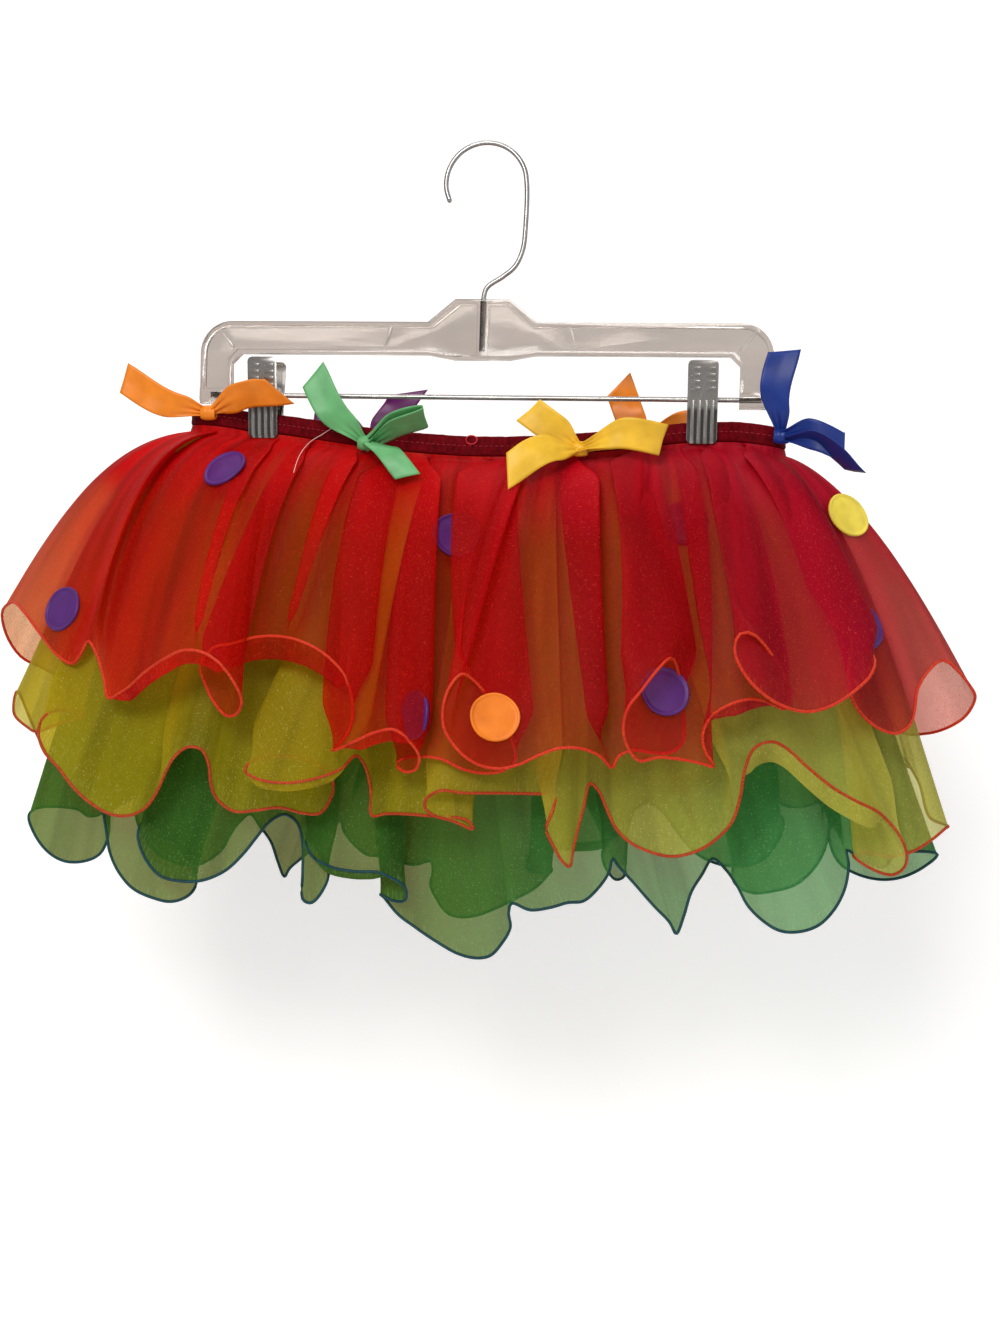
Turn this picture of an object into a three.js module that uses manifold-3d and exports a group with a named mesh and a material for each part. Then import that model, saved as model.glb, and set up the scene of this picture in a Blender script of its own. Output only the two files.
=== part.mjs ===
// A three-layer organza tutu skirt that hangs by two clips from a clear skirt hanger.
// Millimetres. +X runs to the right as the skirt's front is seen, +Y to its back, +Z up.
// The origin is the inside top of the hook, where a rail carries the hanger.
import * as THREE from 'three';
import { mergeVertices } from 'three/addons/utils/BufferGeometryUtils.js';
import Module from 'manifold-3d';

// ---------- driving sizes ----------
const SEAM_GAP = 0.3; // between pieces that touch
const CLOTH = 1.0; // wall of one organza layer
const BAND_HEIGHT = 12; // elastic casing at the waist
const BAND_THICK = 3.6;
const BAND_STEPS = 80; // round the waist loop
const FLARE = 0.62; // power of the flare: below 1 the cloth springs out at the top
const LEFT_PUFF = 0.2; // the left side springs out more, by this much less power
const FOLD_RISE = 1.5; // power by which a hem fold dies out towards the waist
const GATHERS = 20; // small gathers across the front, and across the back
const GATHER_DEPTH = 2; // at its deepest, a third of the way down
const WAIST_HALF = 182; // to the left end of the waist; the right end reaches a little further
const BACK_LIFT = 0.985; // the back's folds end a little higher than the front's

const ROD_R = 1.55; // cross rod and hook wire
const ROD_Z = -154.4;
const RUNNING_GAP = 0.35; // round the rod, in its sockets and in the clips
const HANGER_HALF = 178; // half of a 356 mm hanger
const HANGER_TOP = -108.5;
const BAR_HEIGHT = 20;
const ARM_WIDTH = 20;
const ARM_FOOT = -160;
const CORNER_R = 20;
const HUMP_HALF = 17; // half of the hump's flat top
const HUMP_FOOT = 34; // half of the hump's foot
const HUMP_RISE = 14;
const RIM_DEPTH = 6;
const WEB_DEPTH = 2.4;
const RIM_WIDTH = 2.6;
const HOOK_R = 25; // centre line of the crook
const HOOK_FOOT_Z = -126;
const CLIP_X = 136; // each clip's distance from the hanger's middle

const ROD_HALF = 171;
const SOCKET_DEPTH = 8; // the arms' bosses round the rod's ends
const SOCKET_HEIGHT = 8;
const BOSS_WIDTH = 7; // round the hook's wire
const INNER_CORNER = 6;
const HUMP_SAG = 3; // the middle of the bar reaches lower, under the hump
const RIB_WIDTH = 1.4;
const CROOK_SWEEP = 1.15 * Math.PI;
const CROOK_STEPS = 9;
const HOOK_STEM = [ // X and Z of the wire below the crook
  [0, HOOK_FOOT_Z], [0, -110], [0, -94], [2, -87], [12, -80], [19, -74], [23.5, -64], [25, -48]];
const LEAF_WIDTH = 18.3;
const LEAF_HEIGHT = 50;
const LEAF_THICK = 1;
const LEAF_CORNER = 3;
const NUB_HEIGHT = 0.9; // of the grip's nubs and ribs
const NUB_WIDTH = 5.5;
const NUB_FIRST = 5; // from the thumb end to the first nub
const GRIP_ROWS = 4;
const GRIP_PITCH = 4;
const GRIP_BAR = 1.8;
const JAW_RIB = 24;
const JAW_RIB_MIDDLE = 14; // from the jaw's end
const JAW_Y = 5.1; // from the middle to the leaf's inner face, at the jaw
const LEAF_TOP_Y = 12; // and at the thumb end
const JAW_Z = -181.5;
const EAR_X = { front: 8.6, back: 7.2 };
const EAR_HEIGHT = 9;
const EAR_PAST_ROD = 3.4;
const SPRING_IN = ROD_R + RUNNING_GAP;
const SPRING_OUT = 3.2;
const SPRING_HALF = 6.2;

const DOT_R = 14.5; // satin-covered discs
const DOT_THICK = 1.2;
const DOT_RIM = 0.4; // the rim stands this much higher
const DOT_FLAT = 0.7; // share of the radius inside the rim's slope
const DOT_SIDES = 12;
const DOT_STEPS = 5; // from the middle to the rim, over the cloth
const RIBBON_HALF = 9.5; // half of a 19 mm satin ribbon
const RIBBON_THICK = 0.9;
const RIBBON_CREASE = 1.2; // the middle of the width stands this far out
const RIBBON_LOOP = 3; // between a loop's two sides
const RIBBON_PINCH = 0.3; // share of the width left where the knot gathers it
const RIBBON_OPENS = 0.4; // share of the stretch over which it opens to its full width
const RIBBON_STEPS = 4;
const KNOT_SIZE = [5, 4, 5]; // half of the knot along X, Y and Z

// ---------- the waist loop, flattened between the clips ----------
// across: place along X. half: half of the gap from front to back. top: Z of the band's top edge.
const station = (across, half, top) => ({ across, half, top });
const WAIST = [
  station(-WAIST_HALF, 0, -162),
  station(-178.5, 7, -162),
  station(-169, 10.5, -162.5),
  station(-158, 8, -163.5),
  station(-147, 2.9, -165),
  station(-125, 2.9, -167),
  station(-95, 7, -171),
  station(-50, 14, -177),
  station(0, 17, -180),
  station(50, 14, -178),
  station(95, 7, -173),
  station(125, 2.9, -169),
  station(147, 2.9, -168),
  station(158, 8, -168.5),
  station(171, 10.5, -170),
  station(181.5, 7, -171.5),
  station(185, 0, -172),
];

// ---------- the hems, one row for each crest or valley, from the left side seam to the right ----------
// root: where the fold starts, in percent along the front of the band. across, out: the hem's place
// along X and in front of the hanger. drop: how far below the hook the hem hangs there.
const fold = (root, across, out, drop) => ({ root, across, out, drop });
const LAYERS = [
  {
    name: 'red_layer',
    colour: 0xc81414,
    stack: 1.3, // from the middle of the band's thickness, outwards
    neck: 4, // hangs straight under the band for this far, then flares
    folds: [
      fold(0, -301, 0, 288),
      fold(2.5, -292, 26, 294),
      fold(5.5, -262, 46, 306),
      fold(8, -238, 62, 326),
      fold(11, -226, 50, 311),
      fold(15, -202, 88, 343),
      fold(20, -162, 100, 315),
      fold(25, -124, 112, 347),
      fold(28, -134, 84, 316),
      fold(32, -104, 82, 304),
      fold(37, -60, 104, 350),
      fold(40, -66, 84, 366),
      fold(44, -32, 108, 354),
      fold(48, -18, 100, 376),
      fold(51, -12, 78, 369),
      fold(54, 10, 82, 376),
      fold(57, 3, 116, 336),
      fold(61, 26, 106, 371),
      fold(66, 62, 88, 362),
      fold(71, 90, 78, 373),
      fold(74, 116, 114, 316),
      fold(77, 108, 102, 361),
      fold(81, 142, 80, 366),
      fold(84, 168, 94, 334),
      fold(87, 162, 116, 303),
      fold(89.5, 198, 106, 335),
      fold(92, 232, 82, 312),
      fold(94, 230, 60, 327),
      fold(96, 256, 46, 347),
      fold(98, 286, 28, 314),
      fold(100, 302, 0, 326),
    ],
  },
  {
    name: 'yellow_layer',
    colour: 0xd8c420,
    stack: 0,
    neck: 5.5,
    folds: [
      fold(0, -296, 0, 345),
      fold(3, -286, 20, 352),
      fold(6, -262, 34, 366),
      fold(10, -236, 50, 388),
      fold(15, -200, 66, 411),
      fold(21, -156, 76, 371),
      fold(26, -128, 68, 405),
      fold(31, -92, 58, 408),
      fold(34, -72, 54, 391),
      fold(37, -90, 82, 382),
      fold(40, -64, 82, 384),
      fold(43, -48, 62, 403),
      fold(48, -12, 74, 402),
      fold(52, 10, 64, 409),
      fold(55, 24, 52, 397),
      fold(59, 52, 58, 392),
      fold(62, 64, 78, 425),
      fold(66, 82, 58, 385),
      fold(70, 112, 66, 418),
      fold(75, 146, 70, 414),
      fold(79, 166, 78, 373),
      fold(83, 186, 76, 358),
      fold(88, 226, 62, 388),
      fold(92, 252, 46, 411),
      fold(95, 250, 30, 426),
      fold(97.5, 278, 16, 416),
      fold(100, 290, 0, 408),
    ],
  },
  {
    name: 'green_layer',
    colour: 0x3f9a34,
    stack: -1.3,
    neck: 7,
    folds: [
      fold(0, -282, 0, 420),
      fold(2.5, -272, 14, 436),
      fold(5.5, -248, 22, 449),
      fold(9, -222, 30, 436),
      fold(12, -198, 38, 424),
      fold(16, -172, 50, 452),
      fold(21, -130, 48, 438),
      fold(24, -116, 34, 414),
      fold(27, -120, 48, 458),
      fold(30, -108, 32, 436),
      fold(33, -88, 48, 459),
      fold(36, -76, 38, 446),
      fold(40, -56, 48, 459),
      fold(44, -34, 34, 449),
      fold(47, -18, 50, 472),
      fold(51, 4, 58, 485),
      fold(56, 32, 50, 466),
      fold(59, 36, 32, 457),
      fold(63, 62, 44, 456),
      fold(68, 90, 34, 432),
      fold(71.5, 114, 46, 448),
      fold(74, 130, 52, 466),
      fold(77, 142, 36, 432),
      fold(80, 156, 30, 428),
      fold(83, 168, 40, 446),
      fold(87, 184, 46, 464),
      fold(92, 214, 36, 459),
      fold(96, 236, 20, 438),
      fold(98, 254, 12, 430),
      fold(100, 262, 0, 425),
    ],
  },
];
const PANELS = { front: { first: 0, columns: 66 }, back: { first: 100, columns: 44 } };
const UPPER_RINGS = [13, 28]; // below the band, under the ring at the neck
const LOWER_RINGS = [0.33, 0.62, 1]; // as shares of the fall from the band to the hem

// ---------- dots ----------
// The panel that carries each, its root in percent along the band, its ring down the cloth, and
// its lift over the panel's outer face, which is more where it bridges a fold.
const dot = (name, panel, root, ring, lift, colour) => ({ name, panel, root, ring, lift, colour });
const DOTS = [
  dot('left_side', 'red_layer_front', 7.1, 5.2, 0.8, 'purple'),
  dot('left_top', 'red_layer_front', 16, 2.5, 1.2, 'purple'),
  dot('middle_low', 'red_layer_front', 47.6, 5.4, 1.2, 'purple'),
  dot('middle_top', 'red_layer_front', 50, 3.2, 1.3, 'purple'),
  dot('middle_orange', 'red_layer_front', 60.4, 5.4, 0.4, 'orange'),
  dot('under_red', 'yellow_layer_front', 78, 3.4, 1.2, 'purple'),
  dot('right_low', 'red_layer_front', 78.5, 5.4, 0.3, 'purple'),
  dot('right_side', 'red_layer_front', 94.9, 5, 0.9, 'purple'),
  dot('right_yellow', 'red_layer_front', 97.5, 3.4, 1, 'yellow'),
  dot('back_1', 'red_layer_back', 115, 3.2, 0.8, 'purple'),
  dot('back_2', 'red_layer_back', 131, 5.3, 1, 'orange'),
  dot('back_3', 'red_layer_back', 148, 2.9, 1.2, 'yellow'),
  dot('back_4', 'red_layer_back', 160, 5.4, 0.7, 'purple'),
  dot('back_5', 'red_layer_back', 175, 2.8, 1.3, 'purple'),
  dot('back_6', 'red_layer_back', 190, 4.8, 1, 'yellow'),
];

// ---------- bows ----------
// root, below: the knot's place along the band and under its top edge. Each stretch of ribbon ends
// at reach from the knot, with its middle moved by sag and its width lying along edge.
const stretch = (reach, sag, edge, loop = false) => ({ reach, sag, edge, loop });
const BOWS = [
  {
    name: 'orange', colour: 0xf0820f, root: 5, below: 5,
    stretches: [
      stretch([-52, -8, 20], [0, -3, -5], [0.7, 0, 0.7]),
      stretch([46, -4, 13], [0, -2, 4], [-0.2, -0.6, 0.8]),
    ],
  },
  {
    name: 'green', colour: 0x5aa862, root: 32, below: 10,
    stretches: [
      stretch([-33, -4, 41], [-3, -4, -3], [0.95, 0, 0.3]),
      stretch([38, -10, 16], [0, -6, 2], [0, -0.8, 0.5], true),
      stretch([31, -24, -22], [0, -6, 6], [0.97, 0, -0.05]),
    ],
  },
  {
    name: 'yellow', colour: 0xebb428, root: 66, below: 10,
    stretches: [
      stretch([-31, -6, 22], [0, -3, 0], [0.7, 0, 0.7], true),
      stretch([50, -8, 5], [0, -6, 6], [0.3, 0, 0.95], true),
      stretch([-41, -24, -16], [0, -6, 6], [0.6, 0, -0.8]),
    ],
  },
  {
    name: 'blue', colour: 0x12349a, root: 97.5, below: 6,
    stretches: [
      stretch([0, -6, 50], [-5, -4, 0], [0.9, 0, -0.4]),
      stretch([36, -14, -8], [0, -6, 4], [0.1, 0, -1], true),
      stretch([42, -24, -22], [0, -8, 8], [0.2, -0.9, 0.2]),
    ],
  },
  {
    name: 'orange_back', colour: 0xe8690f, root: 125, below: 6,
    stretches: [
      stretch([-14, 8, 36], [0, 4, 0], [0.9, 0, 0.2]),
      stretch([46, 10, 12], [0, 6, 4], [0.1, 0.2, 1], true),
      stretch([-30, 26, -18], [0, 8, 6], [0.6, 0, 0.8]),
    ],
  },
  {
    name: 'purple_back', colour: 0x62205f, root: 169, below: 6,
    stretches: [
      stretch([22, 8, 32], [0, 4, 0], [0.9, 0, -0.3]),
      stretch([-40, 10, 14], [0, 6, 4], [0.1, 0.2, 1], true),
      stretch([30, 26, -18], [0, 8, 6], [0.6, 0, -0.8]),
    ],
  },
];

// ---------- the hanger's moulded ribs ----------
const rib = (across, z, length, turn) => ({ across, z, length, turn });
const RIBS = [
  rib(-163, -118, 16, -0.7),
  rib(-59, -117, 12, 0.3),
  rib(56, -118, 14, -0.3),
  rib(163, -118, 16, 0.7),
];

// ---------- vectors, walls and booleans ----------
const vec = (x, y, z) => new THREE.Vector3(x, y, z);
const moved = (point, direction, distance) => point.clone().addScaledVector(direction, distance);
const wasm = await Module();
wasm.setup();

// A closed mesh from points and triangles, turned outwards if it came out inside out.
function meshOf(points, triangles) {
  const position = points.flatMap((p) => [p.x, p.y, p.z]);
  const sixVolumes = triangles.reduce(
    (sum, [a, b, c]) => sum + points[a].dot(vec(0, 0, 0).crossVectors(points[b], points[c])), 0);
  const index = triangles.flatMap(([a, b, c]) => (sixVolumes < 0 ? [a, c, b] : [a, b, c]));
  return new THREE.BufferGeometry()
    .setAttribute('position', new THREE.Float32BufferAttribute(position, 3))
    .setIndex(index);
}

// The wall between two grids of points, face[i][j] and back[i][j], with its four edges closed.
// With loop, the first column follows the last.
function wall(face, back, loop = false) {
  const columns = face.length;
  const rows = face[0].length;
  const points = [...face.flat(), ...back.flat()];
  const at = (i, j, side) => side * columns * rows + (i % columns) * rows + j;
  const triangles = [];
  const quad = (a, b, c, d) => triangles.push([a, b, c], [a, c, d]);
  const spans = loop ? columns : columns - 1;
  for (let i = 0; i < spans; i++) {
    for (let j = 0; j < rows - 1; j++) {
      quad(at(i, j, 0), at(i + 1, j, 0), at(i + 1, j + 1, 0), at(i, j + 1, 0));
      quad(at(i, j, 1), at(i, j + 1, 1), at(i + 1, j + 1, 1), at(i + 1, j, 1));
    }
    quad(at(i, 0, 0), at(i, 0, 1), at(i + 1, 0, 1), at(i + 1, 0, 0));
    quad(at(i, rows - 1, 0), at(i + 1, rows - 1, 0), at(i + 1, rows - 1, 1), at(i, rows - 1, 1));
  }
  for (let j = 0; j < rows - 1 && !loop; j++) {
    quad(at(0, j, 0), at(0, j + 1, 0), at(0, j + 1, 1), at(0, j, 1));
    const last = columns - 1;
    quad(at(last, j, 0), at(last, j, 1), at(last, j + 1, 1), at(last, j + 1, 0));
  }
  return meshOf(points, triangles);
}

function solidOf(geometry, matrix = new THREE.Matrix4()) {
  const position = geometry.getAttribute('position').clone();
  const bare = new THREE.BufferGeometry().setAttribute('position', position);
  if (geometry.index) bare.setIndex(geometry.index.clone());
  const merged = mergeVertices(bare.applyMatrix4(matrix), 1e-4);
  return new wasm.Manifold(new wasm.Mesh({
    numProp: 3,
    vertProperties: merged.attributes.position.array,
    triVerts: new Uint32Array(merged.index.array),
  }));
}

function geometryOf(solid) {
  const { vertProperties, triVerts } = solid.getMesh();
  return new THREE.BufferGeometry()
    .setAttribute('position', new THREE.BufferAttribute(vertProperties, 3))
    .setIndex(new THREE.BufferAttribute(triVerts, 1));
}

const joined = (solids) => solids.reduce((whole, next) => whole.add(next));

function boxSolid(width, depth, height, x, y, z, turn = 0) {
  const place = new THREE.Matrix4().makeRotationY(turn).setPosition(x, y, z);
  return solidOf(new THREE.BoxGeometry(width, depth, height), place);
}

// A rod along X.
function rodGeometry(radius, length, sides = 12) {
  return new THREE.CylinderGeometry(radius, radius, length, sides).rotateZ(Math.PI / 2);
}

function material(colour, roughness = 0.6, metalness = 0) {
  return new THREE.MeshStandardMaterial({ color: colour, roughness, metalness });
}

const tutu = new THREE.Group();
function addPiece(name, geometry, finish, parent = tutu) {
  const piece = new THREE.Mesh(geometry, finish);
  piece.name = name;
  parent.add(piece);
  return piece;
}

// ---------- waistband ----------
const waistCurve = new THREE.CatmullRomCurve3(
  [
    ...WAIST.map(({ across, half, top }) => vec(across, -half, top)),
    ...WAIST.slice(1, -1).reverse().map(({ across, half, top }) => vec(across, half, top)),
  ],
  true,
  'centripetal',
);
waistCurve.arcLengthDivisions = 800;

// The band's top edge at root percent (0 to 100 along the front, on to 200 along the back),
// moved outwards from the middle of its thickness.
function bandPoint(root, outwards, below) {
  const share = (((root % 200) + 200) % 200) / 200;
  const point = waistCurve.getPointAt(share);
  const along = waistCurve.getTangentAt(share);
  const outward = vec(along.y, -along.x, 0).normalize();
  return { point: moved(point, outward, outwards).add(vec(0, 0, -below)), outward };
}

function waistband() {
  const edge = (outwards) => Array.from({ length: BAND_STEPS }, (_, i) => {
    const root = (200 * i) / BAND_STEPS;
    return [0, BAND_HEIGHT].map((below) => bandPoint(root, outwards, below).point);
  });
  return wall(edge(BAND_THICK / 2), edge(-BAND_THICK / 2), true);
}

// ---------- ruffled layers ----------
// The hem runs through the front's folds and back through the same folds turned half round.
// A smoothed hem carries the flare, and what the folds add to it dies out towards the waist.
class Ruffle {
  constructor({ folds, stack, neck }) {
    const turned = folds.slice(1, -1).map(({ root, across, out, drop }) => (
      { root: root + 100, across: -across, out: -out, drop: drop * BACK_LIFT }));
    const ring = [...folds, ...turned];
    this.count = ring.length;
    this.stack = stack;
    this.neck = neck;
    this.roots = ring.map((row) => row.root);
    const hem = ring.map((row) => vec(row.across, -row.out, -row.drop));
    const near = [[-2, 1], [-1, 2], [0, 3], [1, 2], [2, 1]];
    const smooth = hem.map((_, i) => near.reduce((sum, [step, share]) => (
      sum.addScaledVector(hem.at((i + step) % this.count), share / 9)), vec(0, 0, 0)));
    this.hem = new THREE.CatmullRomCurve3(hem, true, 'centripetal');
    this.flare = new THREE.CatmullRomCurve3(smooth, true, 'centripetal');
  }

  // How far round the hem the fold is that starts at this angle, in percent as a root is, as a
  // share of the whole hem.
  share(angle) {
    const root = (angle + 200) % 200;
    const i = this.roots.findLastIndex((start) => start <= root);
    const next = i + 1 < this.count ? this.roots[i + 1] : 200;
    return ((i + (root - this.roots[i]) / (next - this.roots[i])) / this.count) % 1;
  }

  top(root) {
    return bandPoint(root, this.stack, BAND_HEIGHT + SEAM_GAP);
  }

  // The levels of a column's rings, from the band, 0, to the hem, 1.
  rings(root) {
    const fall = this.top(root).point.z - this.flare.getPoint(this.share(root)).z;
    return [0, this.neck / fall, ...UPPER_RINGS.map((depth) => depth / fall), ...LOWER_RINGS];
  }

  // root: percent along the band. level: 0 at the band, 1 at the hem.
  point(root, level) {
    const { point: top, outward } = this.top(root);
    const hem = this.hem.getPoint(this.share(root));
    const flare = this.flare.getPoint(this.share(root));
    const neck = this.neck / (top.z - flare.z);
    const power = FLARE - LEFT_PUFF * Math.max(0, -top.x / WAIST_HALF) ** 3;
    const spread = level > neck ? ((level - neck) / (1 - neck)) ** power : 0;
    const fall = top.z + (flare.z - top.z) * level;
    const cloth = top.clone().lerp(flare, spread).setZ(fall);
    cloth.addScaledVector(hem.sub(flare), level ** FOLD_RISE);
    const gather = GATHER_DEPTH * 6.75 * level * (1 - level) ** 2;
    return cloth.addScaledVector(outward, gather * Math.cos((2 * Math.PI * GATHERS * root) / 100));
  }
}

// A grid's points moved along its normals, which are worked out from each point's neighbours.
function shifted(grid, distance) {
  const end = grid.length - 1;
  const foot = grid[0].length - 1;
  return grid.map((column, i) => column.map((point, j) => {
    const along = grid[Math.min(i + 1, end)][j].clone().sub(grid[Math.max(i - 1, 0)][j]);
    const down = column[Math.min(j + 1, foot)].clone().sub(column[Math.max(j - 1, 0)]);
    return moved(point, down.cross(along).normalize(), distance);
  }));
}

// One panel's outer and inner face from seam to seam: a column at each step, a point at each ring.
// A column past each seam gives both panels the same normals there.
function panelFaces(ruffle, first, columns) {
  const cloth = Array.from({ length: columns + 3 }, (_, i) => {
    const root = first + (100 * (i - 1)) / columns;
    return ruffle.rings(root).map((level) => ruffle.point(root, level));
  });
  return [CLOTH / 2, -CLOTH / 2].map((shift) => {
    const face = shifted(cloth, shift).slice(1, -1);
    const trim = (seam, inner) => seam.forEach((point, j) => {
      point.add(inner[j].clone().sub(point).setLength(SEAM_GAP));
    });
    trim(face[0], face[1]);
    trim(face.at(-1), face.at(-2));
    return face;
  });
}

// ---------- assembly of the cloth ----------
addPiece('waistband', waistband(), material(0x7a0a14));
const panels = {};
for (const layer of LAYERS) {
  const ruffle = new Ruffle(layer);
  for (const [side, { first, columns }] of Object.entries(PANELS)) {
    const [outer, inner] = panelFaces(ruffle, first, columns);
    panels[`${layer.name}_${side}`] = outer;
    addPiece(`${layer.name}_${side}`, wall(outer, inner), material(layer.colour, 0.5));
  }
}

// ---------- satin dots ----------
// A dot follows the cloth that carries it: each rim point is walked to from the middle, over the
// panel's outer face, in DOT_STEPS short straight steps.
function facePoint(face, column, ring) {
  const i = Math.min(Math.max(Math.floor(column), 0), face.length - 2);
  const j = Math.min(Math.max(Math.floor(ring), 0), face[0].length - 2);
  const left = face[i][j].clone().lerp(face[i][j + 1], ring - j);
  const right = face[i + 1][j].clone().lerp(face[i + 1][j + 1], ring - j);
  return left.lerp(right, column - i);
}

function faceFrame(face, column, ring) {
  const reach = 0.5; // of a grid cell, to each side
  const across = facePoint(face, column + reach, ring).sub(facePoint(face, column - reach, ring));
  const down = facePoint(face, column, ring + reach).sub(facePoint(face, column, ring - reach));
  return { across, down, normal: down.clone().cross(across).normalize() };
}

function dotGeometry(face, column, ring, lift) {
  const walk = (angle, distance) => {
    let [i, j] = [column, ring];
    const start = faceFrame(face, i, j);
    const side = start.across.clone().normalize();
    const heading = side.clone().multiplyScalar(Math.cos(angle))
      .addScaledVector(side.clone().cross(start.normal), Math.sin(angle));
    for (let k = 0; k < DOT_STEPS; k++) {
      const { across, down, normal } = faceFrame(face, i, j);
      const step = heading.clone().projectOnPlane(normal).setLength(distance / DOT_STEPS);
      const [aa, ad, dd] = [across.dot(across), across.dot(down), down.dot(down)];
      const [sa, sd] = [step.dot(across), step.dot(down)];
      i += (sa * dd - sd * ad) / (aa * dd - ad * ad);
      j += (sd * aa - sa * ad) / (aa * dd - ad * ad);
    }
    return { at: facePoint(face, i, j), up: faceFrame(face, i, j).normal };
  };
  const points = [];
  const add = ({ at, up }, height) => points.push(moved(at, up, height)) - 1;
  const middle = walk(0, 0);
  const top = add(middle, lift + DOT_THICK);
  const bottom = add(middle, lift);
  const spokes = Array.from({ length: DOT_SIDES }, (_, k) => {
    const angle = (2 * Math.PI * k) / DOT_SIDES;
    const inner = walk(angle, DOT_FLAT * DOT_R);
    const rim = walk(angle, DOT_R);
    return [
      add(inner, lift + DOT_THICK), add(rim, lift + DOT_THICK + DOT_RIM),
      add(rim, lift), add(inner, lift),
    ];
  });
  const triangles = spokes.flatMap((spoke, k) => {
    const next = spokes[(k + 1) % DOT_SIDES];
    const bands = [0, 1, 2].flatMap((n) => [
      [spoke[n], next[n], next[n + 1]], [spoke[n], next[n + 1], spoke[n + 1]]]);
    return [[top, next[0], spoke[0]], ...bands, [bottom, spoke[3], next[3]]];
  });
  return meshOf(points, triangles);
}

const DOT_COLOURS = { purple: 0x5a1f86, orange: 0xf07a10, yellow: 0xe8cf40 };
for (const { name, panel, root, ring, lift, colour } of DOTS) {
  const column = ((root % 100) / 100) * (panels[panel].length - 1);
  const geometry = dotGeometry(panels[panel], column, ring, lift);
  addPiece(`dot_${name}`, geometry, material(DOT_COLOURS[colour], 0.4));
}

// ---------- ribbon bows ----------
// A stretch of ribbon from the knot to its end, pinched at the knot and creased down its middle.
// A loop comes back to the knot behind itself.
function ribbonSolid(knot, { reach, sag, edge, loop }) {
  const end = knot.clone().add(vec(...reach));
  const middle = knot.clone().lerp(end, 0.5).add(vec(...sag));
  const turn = vec(...edge).normalize();
  const behind = vec(...reach).cross(turn).normalize().multiplyScalar(RIBBON_LOOP / 2);
  const out = [knot, middle, end];
  const back = [end, middle, knot].map((point, i) => moved(point, behind, i === 0 ? 1 : 2));
  const fore = out.map((point, i) => moved(point, behind, i === 2 ? 0 : -1));
  const line = new THREE.CatmullRomCurve3(loop ? [...fore, ...back] : out);
  const steps = loop ? 2 * RIBBON_STEPS : RIBBON_STEPS;
  const sides = [1, -1].map((face) => Array.from({ length: steps + 1 }, (_, i) => {
    const t = i / steps;
    const point = line.getPoint(t);
    const normal = line.getTangent(t).cross(turn).normalize();
    const fromKnot = Math.min(1, (loop ? Math.min(t, 1 - t) * 2 : t) / RIBBON_OPENS);
    const half = RIBBON_HALF * (RIBBON_PINCH + (1 - RIBBON_PINCH) * fromKnot);
    const crease = RIBBON_CREASE * fromKnot;
    return [-1, 0, 1].map((s) => moved(moved(point, turn, s * half), normal,
      (face * RIBBON_THICK) / 2 + (s === 0 ? crease : 0)));
  }));
  return solidOf(wall(...sides));
}

function bowSolid({ root, below, stretches }) {
  const { point: knot } = bandPoint(root, BAND_THICK / 2 + SEAM_GAP + KNOT_SIZE[1], below);
  const ball = new THREE.SphereGeometry(1, 8, 5).scale(...KNOT_SIZE);
  const place = new THREE.Matrix4().setPosition(knot);
  return joined([solidOf(ball, place), ...stretches.map((row) => ribbonSolid(knot, row))]);
}

for (const bow of BOWS) addPiece(`bow_${bow.name}`, geometryOf(bowSolid(bow)), material(bow.colour, 0.35));

// ---------- hanger ----------
// The clear body's outline, drawn in X and Z, with every edge moved in by inset.
function hangerOutline(inset) {
  const half = HANGER_HALF - inset;
  const top = HANGER_TOP - inset;
  const foot = ARM_FOOT + inset;
  const inner = HANGER_HALF - ARM_WIDTH + inset;
  const under = HANGER_TOP - BAR_HEIGHT + inset;
  const corner = CORNER_R - inset;
  const outline = new THREE.Shape();
  outline.moveTo(-inner, foot);
  outline.lineTo(-half, foot);
  outline.absarc(-half + corner, top - corner, corner, Math.PI, Math.PI / 2, true);
  outline.lineTo(-HUMP_FOOT + inset, top);
  outline.lineTo(-HUMP_HALF + inset, top + HUMP_RISE);
  outline.lineTo(HUMP_HALF - inset, top + HUMP_RISE);
  outline.lineTo(HUMP_FOOT - inset, top);
  outline.absarc(half - corner, top - corner, corner, Math.PI / 2, 0, true);
  outline.lineTo(half, foot);
  outline.lineTo(inner, foot);
  outline.lineTo(inner, under - INNER_CORNER);
  outline.lineTo(inner - INNER_CORNER, under);
  outline.lineTo(HUMP_FOOT, under);
  outline.lineTo(HUMP_HALF, under - HUMP_SAG);
  outline.lineTo(-HUMP_HALF, under - HUMP_SAG);
  outline.lineTo(-HUMP_FOOT, under);
  outline.lineTo(-inner + INNER_CORNER, under);
  outline.lineTo(-inner, under - INNER_CORNER);
  outline.closePath();
  return outline;
}

function plateSolid(outline, depth, y, curveSegments = 5) {
  const plate = new THREE.ExtrudeGeometry(outline, { depth, bevelEnabled: false, curveSegments });
  const upright = new THREE.Matrix4().makeRotationX(Math.PI / 2).setPosition(0, y, 0);
  return solidOf(plate.translate(0, 0, -depth / 2), upright);
}

// An upright rod from foot up to top.
function uprightSolid(radius, foot, top) {
  const rod = new THREE.CylinderGeometry(radius, radius, top - foot, 12).rotateX(Math.PI / 2);
  return solidOf(rod, new THREE.Matrix4().setPosition(0, 0, (foot + top) / 2));
}

// A rod along X from one end to the other, at the height of the cross rod.
function crossSolid(radius, from, to) {
  const place = new THREE.Matrix4().setPosition((from + to) / 2, 0, ROD_Z);
  return solidOf(rodGeometry(radius, Math.abs(to - from)), place);
}

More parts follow.
